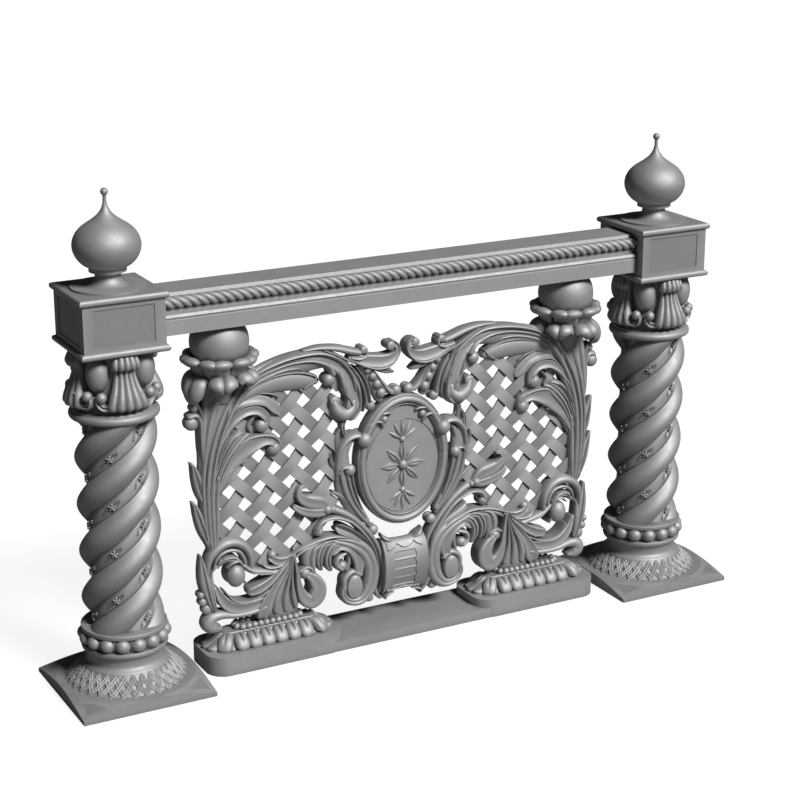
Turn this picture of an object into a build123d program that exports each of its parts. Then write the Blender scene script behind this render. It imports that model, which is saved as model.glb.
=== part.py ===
from build123d import *
import math
import os

# One bay of a carved stone balustrade: two posts, a handrail and a pierced scrollwork panel.
# X runs along the balustrade, Y goes back, Z is up. The origin is on the ground, midway between the posts.

# The bay
POST_SPACING = 1560.0
RAIL_UNDERSIDE = 910.0
RAIL_HEIGHT = 99.0

# Post slab
SLAB_SIZE = 346.0
SLAB_HEIGHT = 33.0
SLAB_CORNER_HEIGHT = 10.0

# Turned base of a post
SKIRT_BOTTOM_RADIUS = 152.0
SKIRT_TOP_RADIUS = 108.0
SKIRT_HEIGHT = 42.0
SCOTIA_RADIUS = 96.0
SCOTIA_HEIGHT = 40.0
LOWER_RING_RADIUS = 108.0
LOWER_RING_HEIGHT = 14.0
BEAD_SEAT_RADIUS = 99.5
BEAD_RING_RADIUS = 116.0
BEAD_RING_HEIGHT = 35.0
BASE_DISC_RADIUS = 107.0
BASE_DISC_HEIGHT = 11.0

# Twisted shaft
SHAFT_RADIUS = 101.0
STRAND_RADIUS = 52.0
STRAND_COUNT = 3
TWIST_LEAD = 364.5
TWIST_START = 92.0

# Capital, cap block and finial
NECK_RING_RADIUS = 110.0
NECK_RING_HEIGHT = 26.0
CAPITAL_CORE_RADIUS = 78.0
CAPITAL_HEIGHT = 145.0
LEAF_BOTTOM_RADIUS = 105.0
LEAF_BULGE_RADIUS = 122.0
LEAF_WAIST_RADIUS = 97.0
LEAF_ROLL_RADIUS = 106.0
LEAF_HALF_ANGLE = 31.0
EGG_OFFSET = 82.0
EGG_RADIUS = 27.0
EGG_HALF_HEIGHT = 42.0
BLOCK_HALF = 102.0
BLOCK_MOULDING_HALF = 110.0
BLOCK_ABOVE_RAIL = 19.5
BLOCK_BELOW_RAIL = 27.0
BLOCK_MOULDING_HEIGHT = 16.0
BLOCK_PANEL_MARGIN = 27.0
BLOCK_PANEL_DEPTH = 2.0
FINIAL_DISC_RADIUS = 90.7
FINIAL_DISC_HEIGHT = 5.0
FINIAL_FOOT_RADIUS = 44.7
FINIAL_FOOT_HEIGHT = 38.0
FINIAL_NECK_RADIUS = 30.9
FINIAL_COLLAR_RADIUS = 45.0
FINIAL_BULB_RADIUS = 81.6
FINIAL_TIP_RADIUS = 4.5
FINIAL_HEIGHT = 227.2
FINIAL_BALL_RADIUS = 9.3

# Handrail
RAIL_HALF_DEPTH = 75.0
RAIL_FACE_HEIGHT = 36.0
RAIL_TOP_HALF_DEPTH = 50.7
ROPE_RADIUS = 15.0
ROPE_OFFSET = 60.5
ROPE_DROP = 22.0

# Plinth bar and foot blocks
BAR_HALF_DEPTH = 82.5
BAR_HEIGHT = 27.0
FOOT_CENTRE = 391.0
FOOT_HALF_LENGTH = 189.0
FOOT_HALF_DEPTH = 85.0
FOOT_HEIGHT = 50.5
FOOT_CORNER = 50.0
PETAL_HALF_LENGTH = 172.0
PETAL_HALF_DEPTH = 66.0
PETAL_TOP_HALF_LENGTH = 130.0
PETAL_TOP_HALF_DEPTH = 24.0
PETAL_HEIGHT = 33.5
FOOT_PLATE_HEIGHT = 6.0
FOOT_PLATE_HALF_LENGTH = 132.0
FOOT_PLATE_HALF_DEPTH = 26.0
BEAD_ROW_HEIGHT = 14.0
BEAD_ROW_HALF_LENGTH = 93.0
BEAD_ROW_HALF_DEPTH = 21.0

# Scrollwork panel
SCROLL_HALF_DEPTH = 24.0
RING_HALF_DEPTH = 27.0
DISC_HALF_DEPTH = 16.0
LATTICE_HALF_DEPTH = 8.0
LATTICE_PITCH = 83.6
LATTICE_STRIP = 31.0
LATTICE_HOLE_X = 279.0
LATTICE_HOLE_Z = 337.0
MEDALLION_MIDDLE = 474.0
MEDALLION_HALF_WIDTH = 137.0
MEDALLION_HALF_HEIGHT = 176.0
MEDALLION_RIM = 25.0
COLLAR_MIDDLE = 177.5
COLLAR_HALF_WIDTH = 64.0
COLLAR_HALF_DEPTH = 42.0
COLLAR_HALF_HEIGHT = 80.5

# Buds, each below the handrail in its cup and sepals
BUD_X = 503.0
BUD_DROP = 52.0
BUD_RADIUS = 74.0
CUP_LIP_DROP = 29.0
CUP_HEIGHT = 64.0
CUP_LIP_THICKNESS = 16.0
CUP_BOTTOM_RADIUS = 45.0
CUP_LIP_RADIUS = 101.0
SEPAL_HEIGHT = 63.0
SEPAL_RADIUS = 88.0

SMALLEST_ISLAND = 320.0

# Heights above the ground and lengths that follow from the sizes above
GROUND = 0.0
HALF_SPACING = POST_SPACING / 2
SKIRT_TOP = SLAB_HEIGHT + SKIRT_HEIGHT
LOWER_RING_BOTTOM = SKIRT_TOP + SCOTIA_HEIGHT
LOWER_RING_TOP = LOWER_RING_BOTTOM + LOWER_RING_HEIGHT
BEAD_RING_TOP = LOWER_RING_TOP + BEAD_RING_HEIGHT
BASE_TOP = BEAD_RING_TOP + BASE_DISC_HEIGHT
RAIL_TOP = RAIL_UNDERSIDE + RAIL_HEIGHT
RAIL_FACE_TOP = RAIL_UNDERSIDE + RAIL_FACE_HEIGHT
RAIL_LENGTH = POST_SPACING - 2 * BLOCK_HALF
ROPE_HEIGHT = RAIL_TOP - ROPE_DROP
BLOCK_TOP = RAIL_TOP + BLOCK_ABOVE_RAIL
CAPITAL_TOP = RAIL_UNDERSIDE - BLOCK_BELOW_RAIL
NECK_RING_TOP = CAPITAL_TOP - CAPITAL_HEIGHT
SHAFT_TOP = NECK_RING_TOP - NECK_RING_HEIGHT
FINIAL_BALL_MIDDLE = BLOCK_TOP + FINIAL_HEIGHT
PETAL_TOP = FOOT_HEIGHT + PETAL_HEIGHT
FOOT_PLATE_TOP = PETAL_TOP + FOOT_PLATE_HEIGHT
PANEL_BOTTOM = FOOT_PLATE_TOP + BEAD_ROW_HEIGHT
BUD_MIDDLE = RAIL_UNDERSIDE - BUD_DROP
CUP_LIP = BUD_MIDDLE - CUP_LIP_DROP
CUP_BOTTOM = CUP_LIP - CUP_HEIGHT
SEPAL_BOTTOM = CUP_BOTTOM - SEPAL_HEIGHT

# The panel's outlines are drawn for a bay of these sizes, and are stretched to the bay that is built.
DRAWN_FOR = {"spacing": 1560, "panel bottom": 104, "rail underside": 910}
STRETCH_X = POST_SPACING / DRAWN_FOR["spacing"]
STRETCH_Z = (RAIL_UNDERSIDE - PANEL_BOTTOM) / (DRAWN_FOR["rail underside"] - DRAWN_FOR["panel bottom"])


def drawn(x, z):
    """A place in the panel's drawing, stretched to the bay."""
    return x * STRETCH_X, PANEL_BOTTOM + (z - DRAWN_FOR["panel bottom"]) * STRETCH_Z


def turned(points):
    """A solid of revolution about Z from (radius, height) points."""
    return revolve(Plane.XZ * make_face(Polyline(*points, close=True)), Axis.Z)


def strip(points, widths):
    """A flat band with round ends along a smooth line through drawn places, as wide as each width."""
    points = [drawn(x, z) for x, z in points]
    left, right = [], []
    last = len(points) - 1
    for i, (x, z) in enumerate(points):
        x0, z0 = points[max(i - 1, 0)]
        x1, z1 = points[min(i + 1, last)]
        length = math.hypot(x1 - x0, z1 - z0)
        nx, nz = -(z1 - z0) / length, (x1 - x0) / length
        half = widths[i] / 2 * min(STRETCH_X, STRETCH_Z)
        left.append((x + nx * half, z + nz * half))
        right.append((x - nx * half, z - nz * half))

    def cap(i, sign):
        x, z = points[i]
        mid_x, mid_z = (left[i][0] - right[i][0]) / 2, (left[i][1] - right[i][1]) / 2
        return (x + sign * mid_z, z - sign * mid_x)

    outline = Spline(*left) + ThreePointArc(left[-1], cap(last, 1), right[-1])
    outline += Spline(*reversed(right)) + ThreePointArc(right[0], cap(0, -1), left[0])
    return make_face(outline)


def oval(x, z, half_width, half_height):
    """A filled oval at a drawn place in the panel's plane."""
    return Pos(*drawn(x, z)) * Ellipse(half_width * STRETCH_X, half_height * STRETCH_Z)


def ball(x, z, radius):
    """A filled circle at a drawn place in the panel's plane."""
    return Pos(*drawn(x, z)) * Circle(radius * min(STRETCH_X, STRETCH_Z))


def block(x0, x1, z0, z1):
    """A filled rectangle between drawn places in the panel's plane."""
    (left, bottom), (right, top) = drawn(x0, z0), drawn(x1, z1)
    return Pos((left + right) / 2, (bottom + top) / 2) * Rectangle(right - left, top - bottom)


def carved(flat, half_depth):
    """A flat outline given its thickness, equally to the front and the back."""
    return extrude(Plane.XZ * flat, amount=half_depth, both=True)


def rounded_slab(centre, half_length, half_depth, corner, bottom, top):
    """A rounded slab lying flat."""
    flat = RectangleRounded(2 * half_length, 2 * half_depth, corner)
    return Pos(centre, 0, bottom) * extrude(flat, amount=top - bottom)


# The post

def post_slab():
    corner = SLAB_SIZE / math.sqrt(2)
    half = SLAB_SIZE / 2
    cone = turned([(0, 0), (corner, 0), (corner, SLAB_CORNER_HEIGHT), (half, SLAB_HEIGHT), (0, SLAB_HEIGHT)])
    box = Pos(0, 0, SLAB_HEIGHT / 2) * Box(SLAB_SIZE, SLAB_SIZE, SLAB_HEIGHT)
    return box & cone


def post_base():
    skirt = Line((0, SLAB_HEIGHT), (SKIRT_BOTTOM_RADIUS, SLAB_HEIGHT))
    waist = (SKIRT_TOP_RADIUS + 12, (SLAB_HEIGHT + SKIRT_TOP) / 2)
    skirt += ThreePointArc((SKIRT_BOTTOM_RADIUS, SLAB_HEIGHT), waist, (SKIRT_TOP_RADIUS, SKIRT_TOP))
    scotia_middle = (SCOTIA_RADIUS, (SKIRT_TOP + LOWER_RING_BOTTOM) / 2)
    ring_edge = LOWER_RING_RADIUS - 4
    skirt += ThreePointArc((SKIRT_TOP_RADIUS, SKIRT_TOP), scotia_middle, (ring_edge, LOWER_RING_BOTTOM))
    ring_middle = (LOWER_RING_RADIUS, (LOWER_RING_BOTTOM + LOWER_RING_TOP) / 2)
    skirt += ThreePointArc((ring_edge, LOWER_RING_BOTTOM), ring_middle, (ring_edge, LOWER_RING_TOP))
    skirt += Polyline((ring_edge, LOWER_RING_TOP), (BEAD_SEAT_RADIUS, LOWER_RING_TOP),
                      (BEAD_SEAT_RADIUS, BEAD_RING_TOP), (BASE_DISC_RADIUS, BEAD_RING_TOP),
                      (BASE_DISC_RADIUS, BASE_TOP), (0, BASE_TOP), (0, SLAB_HEIGHT))
    return revolve(Plane.XZ * make_face(skirt), Axis.Z)


def bead_ring():
    middle = (BEAD_RING_RADIUS, (LOWER_RING_TOP + BEAD_RING_TOP) / 2)
    low, high = (BEAD_SEAT_RADIUS, LOWER_RING_TOP), (BEAD_SEAT_RADIUS, BEAD_RING_TOP)
    return revolve(Plane.XZ * make_face(ThreePointArc(low, middle, high) + Line(high, low)), Axis.Z)


def shaft():
    offset = SHAFT_RADIUS - STRAND_RADIUS
    section = Sketch() + [loc * Circle(STRAND_RADIUS) for loc in PolarLocations(offset, STRAND_COUNT)]
    section += Circle(SHAFT_RADIUS * 0.72)
    height = SHAFT_TOP - BASE_TOP
    turn = 360.0 * height / TWIST_LEAD
    twisted = Solid.extrude_linear_with_rotation(section.faces()[0], (0, 0, 0), (0, 0, height), turn)
    return Pos(0, 0, BASE_TOP) * Rot(0, 0, TWIST_START) * twisted


def neck_ring():
    fillet_bottom = NECK_RING_TOP - 3
    bead = Line((0, SHAFT_TOP), (NECK_RING_RADIUS - 12, SHAFT_TOP))
    middle = (NECK_RING_RADIUS, (SHAFT_TOP + fillet_bottom) / 2)
    bead += ThreePointArc((NECK_RING_RADIUS - 12, SHAFT_TOP), middle, (NECK_RING_RADIUS - 12, fillet_bottom))
    bead += Polyline((NECK_RING_RADIUS - 12, fillet_bottom), (NECK_RING_RADIUS - 10, NECK_RING_TOP),
                     (0, NECK_RING_TOP), (0, SHAFT_TOP))
    return revolve(Plane.XZ * make_face(bead), Axis.Z)


def capital_core():
    lip = NECK_RING_RADIUS - 14
    waist = NECK_RING_TOP + CAPITAL_HEIGHT * 0.2
    return turned([(0, NECK_RING_TOP), (lip, NECK_RING_TOP), (CAPITAL_CORE_RADIUS, waist),
                   (CAPITAL_CORE_RADIUS, CAPITAL_TOP), (0, CAPITAL_TOP)])


def capital_leaf():
    """The shell leaf on the +X face, shaped by turning a profile through its width."""
    inner = CAPITAL_CORE_RADIUS - 15
    bulge, waist, roll = (NECK_RING_TOP + CAPITAL_HEIGHT * share for share in (0.2, 0.576, 0.828))
    edge = Spline((LEAF_BOTTOM_RADIUS, NECK_RING_TOP), (LEAF_BULGE_RADIUS, bulge), (LEAF_WAIST_RADIUS, waist),
                  (LEAF_ROLL_RADIUS, roll), (LEAF_ROLL_RADIUS - 6, CAPITAL_TOP))
    edge += Polyline((LEAF_ROLL_RADIUS - 6, CAPITAL_TOP), (inner, CAPITAL_TOP), (inner, NECK_RING_TOP),
                     (LEAF_BOTTOM_RADIUS, NECK_RING_TOP))
    leaf = revolve(Plane.XZ * make_face(edge), Axis.Z, 2 * LEAF_HALF_ANGLE)
    return Rot(0, 0, -LEAF_HALF_ANGLE) * leaf


def capital():
    leaf = capital_leaf()
    return capital_core() + [Rot(0, 0, 90 * k) * leaf for k in range(4)]


def capital_eggs(bell):
    """The four eggs between the shell leaves, cut to the bell behind them."""
    middle = CAPITAL_TOP - EGG_HALF_HEIGHT
    outer_half = Pos(EGG_RADIUS, 0) * Rectangle(2 * EGG_RADIUS, 2 * EGG_HALF_HEIGHT)
    half_oval = Ellipse(EGG_RADIUS, EGG_HALF_HEIGHT) & outer_half
    egg = revolve(Plane.XZ * half_oval, Axis.Z)
    eggs = [Rot(0, 0, 45 + 90 * k) * Pos(EGG_OFFSET, 0, middle) * egg for k in range(4)]
    return Compound(children=[s for e in eggs for s in (e - bell).solids()])


def cap_block():
    middle = (CAPITAL_TOP + BLOCK_TOP) / 2
    cap = Pos(0, 0, middle) * Box(2 * BLOCK_HALF, 2 * BLOCK_HALF, BLOCK_TOP - CAPITAL_TOP)
    for height in (CAPITAL_TOP, BLOCK_TOP - BLOCK_MOULDING_HEIGHT):
        moulding = Pos(0, 0, height + BLOCK_MOULDING_HEIGHT / 2) * Box(
            2 * BLOCK_MOULDING_HALF, 2 * BLOCK_MOULDING_HALF, BLOCK_MOULDING_HEIGHT)
        around = moulding.edges().group_by(Axis.Z)[0] + moulding.edges().group_by(Axis.Z)[-1]
        cap += fillet(around, BLOCK_MOULDING_HEIGHT * 0.45)
    panel_height = BLOCK_TOP - CAPITAL_TOP - 2 * BLOCK_MOULDING_HEIGHT - 22
    panel_width = 2 * (BLOCK_HALF - BLOCK_PANEL_MARGIN)
    for k in range(4):
        recess = Box(2 * BLOCK_PANEL_DEPTH, panel_width, panel_height)
        cap -= Rot(0, 0, 90 * k) * Pos(BLOCK_HALF, 0, middle) * recess
    return cap


# The bulb's outline: shares of its greatest radius, and of the height from its shoulder to its tip
BULB_LINE = ((0.87, 0.125), (1.0, 0.32), (0.84, 0.527), (0.3, 0.734))


def finial():
    foot = BLOCK_TOP + FINIAL_DISC_HEIGHT
    collar = foot + FINIAL_FOOT_HEIGHT
    shoulder = collar + 6
    tip = FINIAL_BALL_MIDDLE - 14
    outline = Polyline((0, BLOCK_TOP), (FINIAL_DISC_RADIUS, BLOCK_TOP), (FINIAL_DISC_RADIUS, foot),
                       (FINIAL_FOOT_RADIUS + 15, foot))
    outline += ThreePointArc((FINIAL_FOOT_RADIUS + 15, foot), (FINIAL_NECK_RADIUS + 3, foot + 15),
                             (FINIAL_NECK_RADIUS, collar - 8))
    outline += Polyline((FINIAL_NECK_RADIUS, collar - 8), (FINIAL_COLLAR_RADIUS, collar - 4),
                        (FINIAL_COLLAR_RADIUS, shoulder))
    bulb = [(FINIAL_BULB_RADIUS * wide, shoulder + (tip - shoulder) * share) for wide, share in BULB_LINE]
    outline += Spline((FINIAL_COLLAR_RADIUS, shoulder), *bulb, (FINIAL_TIP_RADIUS, tip))
    join = math.sqrt(FINIAL_BALL_RADIUS ** 2 - FINIAL_TIP_RADIUS ** 2)
    top = FINIAL_BALL_MIDDLE + FINIAL_BALL_RADIUS
    outline += Line((FINIAL_TIP_RADIUS, tip), (FINIAL_TIP_RADIUS, FINIAL_BALL_MIDDLE - join))
    outline += ThreePointArc((FINIAL_TIP_RADIUS, FINIAL_BALL_MIDDLE - join),
                             (FINIAL_BALL_RADIUS, FINIAL_BALL_MIDDLE), (0, top))
    outline += Line((0, top), (0, BLOCK_TOP))
    return revolve(Plane.XZ * make_face(outline), Axis.Z)


# The handrail

def along_x(flat, length):
    """A YZ section drawn along the balustrade, centred on it."""
    return extrude(Plane.YZ * flat, amount=length / 2, both=True)


def rope_section(side):
    return Pos(side * ROPE_OFFSET, ROPE_HEIGHT) * Circle(ROPE_RADIUS)


def handrail():
    groove = ROPE_HEIGHT - ROPE_RADIUS - 10
    half = [(RAIL_HALF_DEPTH, RAIL_UNDERSIDE), (RAIL_HALF_DEPTH, RAIL_FACE_TOP),
            (RAIL_HALF_DEPTH - 3, RAIL_FACE_TOP + 2), (RAIL_HALF_DEPTH, RAIL_FACE_TOP + 7),
            (RAIL_HALF_DEPTH - 5, RAIL_FACE_TOP + 13), (RAIL_HALF_DEPTH - 14, groove),
            (ROPE_OFFSET, ROPE_HEIGHT - ROPE_RADIUS + 6), (RAIL_TOP_HALF_DEPTH + 2, RAIL_TOP - 6),
            (RAIL_TOP_HALF_DEPTH, RAIL_TOP)]
    other = [(-y, z) for y, z in reversed(half)]
    section = make_face(Polyline(*half, *other, close=True))
    return along_x(section - rope_section(1) - rope_section(-1), RAIL_LENGTH)


def rope(side):
    return along_x(rope_section(side), RAIL_LENGTH)


# The plinth bar and the feet

def foot_block():
    return rounded_slab(FOOT_CENTRE, FOOT_HALF_LENGTH, FOOT_HALF_DEPTH, FOOT_CORNER, GROUND, FOOT_HEIGHT)


def plinth_bar(foot):
    box = Pos(0, 0, BAR_HEIGHT / 2) * Box(2 * FOOT_CENTRE, 2 * BAR_HALF_DEPTH, BAR_HEIGHT)
    return box - foot - mirror(foot, Plane.YZ)


def foot_petals():
    """The sloping petal moulding and the plate on it."""
    low = RectangleRounded(2 * PETAL_HALF_LENGTH, 2 * PETAL_HALF_DEPTH, PETAL_HALF_DEPTH * 0.7)
    high = RectangleRounded(2 * PETAL_TOP_HALF_LENGTH, 2 * PETAL_TOP_HALF_DEPTH, PETAL_TOP_HALF_DEPTH * 0.7)
    slope = loft([Pos(FOOT_CENTRE, 0, FOOT_HEIGHT) * low, Pos(FOOT_CENTRE, 0, PETAL_TOP) * high])
    plate = rounded_slab(FOOT_CENTRE, FOOT_PLATE_HALF_LENGTH, FOOT_PLATE_HALF_DEPTH,
                         FOOT_PLATE_HALF_DEPTH - 1, PETAL_TOP, FOOT_PLATE_TOP)
    return slope + plate


def foot_bead_row():
    return rounded_slab(FOOT_CENTRE, BEAD_ROW_HALF_LENGTH, BEAD_ROW_HALF_DEPTH,
                        BEAD_ROW_HALF_DEPTH - 1, FOOT_PLATE_TOP, PANEL_BOTTOM)


# The panel, drawn as its right half: x is the distance from the middle, z the height

def ring_scroll_outline():
    """The curl at the foot, round a hanging bud."""
    ring = oval(492, 262, 70, 75) - oval(490, 258, 47, 54)
    ring -= block(390, 470, 145, 235)
    bud = oval(478, 247, 26, 31) + oval(486, 275, 14, 14)
    stem = strip([(478, 240), (430, 231), (385, 229), (345, 245)], [22, 20, 20, 18])
    return ring + bud + stem


def foot_leaf_outline():
    """The acanthus fan that stands on the foot."""
    leaf = strip([(245, 285), (290, 276), (325, 240), (352, 180), (358, 124)], [20, 32, 40, 66, 66])
    leaf += strip([(318, 262), (365, 200), (405, 160), (425, 127)], [24, 44, 56, 38])
    leaf += strip([(325, 262), (312, 200), (285, 150)], [26, 36, 60])
    leaf += oval(274, 155, 34, 48)
    leaf += ball(286, 207, 19)
    leaf += strip([(330, 255), (385, 205), (432, 187)], [20, 28, 26])
    leaf += strip([(400, 138), (470, 138), (520, 131), (552, 118)], [30, 20, 18, 14])
    leaf += strip([(385, 165), (432, 152), (478, 158), (515, 186), (534, 236)], [26, 30, 34, 28, 16])
    leaf += strip([(320, 264), (348, 284), (374, 274)], [14, 14, 22])
    leaf += block(303, 479, 104, 122)
    leaf += ball(563, 166, 14) + ball(568, 189, 11) + ball(570, 207, 10)
    leaf += strip([(548, 120), (568, 210), (572, 312)], [18, 22, 6])
    return leaf & block(90, 690, 104, 504)


def lower_scroll_outline():
    """The big scroll beside the collar, with its leaf, its tulip and the hook over it."""
    scroll = oval(140, 141, 42, 44)
    scroll += strip([(112, 108), (84, 150), (90, 205), (120, 262), (175, 282), (235, 286), (285, 262)],
                    [24, 48, 62, 74, 36, 24, 30])
    scroll += strip([(180, 268), (172, 238), (172, 210)], [44, 44, 44])
    scroll += strip([(205, 270), (207, 235), (207, 203)], [40, 34, 18])
    scroll += strip([(250, 272), (250, 240), (249, 206)], [60, 50, 20])
    scroll += strip([(80, 230), (110, 295), (160, 335), (215, 366)], [34, 36, 30, 24])
    scroll += strip([(130, 312), (175, 343), (215, 346), (240, 332), (242, 310)], [16, 16, 16, 18, 24])
    scroll += ball(87, 290, 17)
    scroll += strip([(213, 368), (250, 384), (282, 402), (296, 434)], [22, 50, 30, 14])
    scroll += strip([(240, 374), (272, 372), (302, 378)], [24, 24, 16])
    return scroll


def bracket_outline():
    """The acanthus bracket beside the medallion."""
    bracket = strip([(112, 322), (158, 375), (172, 440), (170, 510), (145, 550), (116, 546)],
                    [30, 60, 62, 46, 36, 44])
    return bracket + strip([(172, 500), (176, 560), (160, 600)], [30, 30, 20])


def inner_volute_outline():
    """The end of the arch, rolled in above the medallion."""
    volute = strip([(215, 768), (165, 736), (135, 694), (128, 645), (148, 622)], [60, 66, 70, 62, 50])
    volute += oval(168, 643, 40, 42)
    return volute + strip([(130, 742), (106, 685), (96, 630)], [30, 26, 24])


def arch_outline():
    """The acanthus arch from the bud to the crest."""
    arch = strip([(512, 636), (478, 700), (420, 744), (340, 763), (260, 764), (215, 768)],
                 [60, 76, 84, 86, 82, 64])
    arch += strip([(260, 779), (200, 780), (150, 771)], [52, 36, 34])
    arch += strip([(380, 706), (330, 700), (270, 704)], [30, 30, 20])
    return arch + oval(208, 718, 24, 24)


def horn_outline():
    """The outer stem with its curls and leaves, from the foot curl to the bud."""
    horn = strip([(538, 322), (544, 420), (542, 520), (538, 600), (528, 680), (510, 740)],
                 [50, 70, 66, 72, 84, 80])
    horn += strip([(556, 600), (566, 655), (590, 664)], [20, 22, 44])
    horn += strip([(552, 680), (572, 715), (590, 706)], [24, 22, 26])
    horn += strip([(560, 400), (580, 500), (588, 556)], [40, 26, 6])
    horn += strip([(556, 300), (578, 390), (590, 452)], [30, 26, 6])
    horn += strip([(510, 610), (470, 668), (425, 686), (388, 664)], [30, 30, 30, 28])
    horn += oval(400, 642, 34, 36)
    horn += strip([(520, 540), (465, 578), (415, 594), (378, 584), (372, 562)], [70, 66, 40, 34, 36])
    return horn


def crest_outline():
    """The paired curls in the middle of the crest and the band down to the medallion."""
    crest = strip([(160, 768), (110, 752), (62, 743), (28, 756), (34, 781)], [30, 38, 40, 32, 34])
    crest += oval(50, 790, 19, 18) + oval(118, 780, 19, 19) + oval(132, 796, 12, 12)
    crest += strip([(128, 746), (84, 724), (34, 708)], [24, 30, 10])
    crest += strip([(120, 740), (92, 700), (62, 668), (26, 662)], [44, 52, 40, 34])
    return crest + ball(6, 662, 16)


def lattice_outline():
    """The field behind the scrolls, pierced by square holes on their corners."""
    border = [(545, 330), (545, 560), (500, 680), (420, 750), (230, 740), (170, 700), (165, 600), (185, 480),
              (190, 400), (215, 340), (250, 305), (300, 270), (420, 250), (500, 320)]
    field = make_face(Polyline(*[drawn(x, z) for x, z in border], close=True))
    highest = drawn(0, 715)[1]
    side = LATTICE_PITCH / math.sqrt(2) - LATTICE_STRIP
    half = LATTICE_PITCH / 2
    hole = Rot(0, 0, 45) * Rectangle(side, side)
    for i in range(-2, 7):
        for j in range(-2, 10):
            x, z = LATTICE_HOLE_X + i * half, LATTICE_HOLE_Z + j * half
            if (i + j) % 2 == 0 and z < highest:
                field -= Pos(x, z) * hole
    return field


def panel_outlines():
    """The outlines from the front one back, each kept clear of those before it."""
    collar_front = Rectangle(2 * COLLAR_HALF_WIDTH, 2 * COLLAR_HALF_HEIGHT)
    taken = medallion_outline() + Pos(0, COLLAR_MIDDLE) * collar_front
    right_half = Pos(HALF_SPACING / 2, RAIL_UNDERSIDE / 2) * Rectangle(HALF_SPACING, RAIL_UNDERSIDE)
    outlines = {}
    for name, outline in (("lower_scroll", lower_scroll_outline()), ("foot_leaf", foot_leaf_outline()),
                          ("ring_scroll", ring_scroll_outline()), ("inner_volute", inner_volute_outline()),
                          ("crest", crest_outline()), ("arch", arch_outline()), ("horn", horn_outline()),
                          ("bracket", bracket_outline()), ("lattice", lattice_outline())):
        kept = (outline & right_half) - taken
        faces = [f for f in kept.faces() if f.area > SMALLEST_ISLAND]
        outlines[name] = Sketch() + faces
        taken = taken + outlines[name]
    return outlines


def medallion_outline(inset=0):
    return Pos(0, MEDALLION_MIDDLE) * Ellipse(MEDALLION_HALF_WIDTH - inset, MEDALLION_HALF_HEIGHT - inset)


def medallion_ring():
    return carved(medallion_outline() - medallion_outline(MEDALLION_RIM), RING_HALF_DEPTH)


def medallion_disc():
    return carved(medallion_outline(MEDALLION_RIM), DISC_HALF_DEPTH)


def collar():
    section = Pos(0, COLLAR_MIDDLE) * Ellipse(COLLAR_HALF_DEPTH, COLLAR_HALF_HEIGHT)
    return along_x(section, 2 * COLLAR_HALF_WIDTH)


# The buds under the handrail

def bud():
    size = 2 * BUD_RADIUS
    rail = Pos(BUD_X, 0, RAIL_UNDERSIDE + BUD_RADIUS) * Box(size, size, size)
    return Pos(BUD_X, 0, BUD_MIDDLE) * Sphere(BUD_RADIUS) - rail


def bud_cup():
    cup = turned([(0, CUP_BOTTOM), (CUP_BOTTOM_RADIUS, CUP_BOTTOM),
                  (CUP_LIP_RADIUS, CUP_LIP - CUP_LIP_THICKNESS), (CUP_LIP_RADIUS, CUP_LIP), (0, CUP_LIP)])
    return Pos(BUD_X, 0, 0) * cup - Pos(BUD_X, 0, BUD_MIDDLE) * Sphere(BUD_RADIUS)


def sepals():
    root = SEPAL_RADIUS * 0.45
    widest = SEPAL_BOTTOM + SEPAL_HEIGHT * 0.54
    drooping = turned([(0, SEPAL_BOTTOM), (root, SEPAL_BOTTOM + 8), (SEPAL_RADIUS, widest),
                       (SEPAL_RADIUS, CUP_BOTTOM - 12), (CUP_BOTTOM_RADIUS, CUP_BOTTOM), (0, CUP_BOTTOM)])
    return Pos(BUD_X, 0, 0) * drooping


def write(name, solid):
    solid.label = name
    export_step(solid, f"parts/{name}.step")


def write_pair(name, solid):
    """Writes a piece of the right half and its mirror image."""
    write("right_" + name, solid)
    write("left_" + name, mirror(solid, Plane.YZ))


def write_posts():
    bell = capital()
    pieces = {"post_slab": post_slab(), "post_base": post_base(), "bead_ring": bead_ring(), "shaft": shaft(),
              "neck_ring": neck_ring(), "capital": bell, "capital_eggs": capital_eggs(bell),
              "cap_block": cap_block(), "finial": finial()}
    for side, x in (("left", -HALF_SPACING), ("right", HALF_SPACING)):
        for name, piece in pieces.items():
            write(f"{side}_{name}", Pos(x, 0, 0) * piece)


def write_panel():
    above = bud() + bud_cup() + sepals()
    depths = {"lattice": LATTICE_HALF_DEPTH}
    for name, outline in panel_outlines().items():
        piece = carved(outline, depths.get(name, SCROLL_HALF_DEPTH))
        if name in ("horn", "arch", "lattice"):
            piece = piece - above
        write_pair(name, piece)
    write_pair("bud", bud())
    write_pair("bud_cup", bud_cup())
    write_pair("sepals", sepals())
    write("medallion_ring", medallion_ring())
    write("medallion_disc", medallion_disc())
    write("collar", collar())


def write_all():
    os.makedirs("parts", exist_ok=True)
    write_posts()
    write("handrail", handrail())
    write("front_rope", rope(-1))
    write("back_rope", rope(1))
    foot = foot_block()
    write("plinth_bar", plinth_bar(foot))
    write_pair("foot_block", foot)
    write_pair("foot_petals", foot_petals())
    write_pair("foot_bead_row", foot_bead_row())
    write_panel()


write_all()
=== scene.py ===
# %% [markdown]
# A carved stone balustrade, one bay of it. The measured model is already there as plain solids: two posts, a
# handrail, a plinth bar with two feet and a pierced panel. What is missing is the carving. On the real object
# a mason cuts it out of those very blocks, so here each solid that carries carving is replaced by a carved
# piece of the same size in the same place, and the plain ones, such as the handrail, only get the stone's
# finish.

# %% Load the measured model
import math
import bpy
import bmesh
from mathutils import Matrix, Vector


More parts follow.
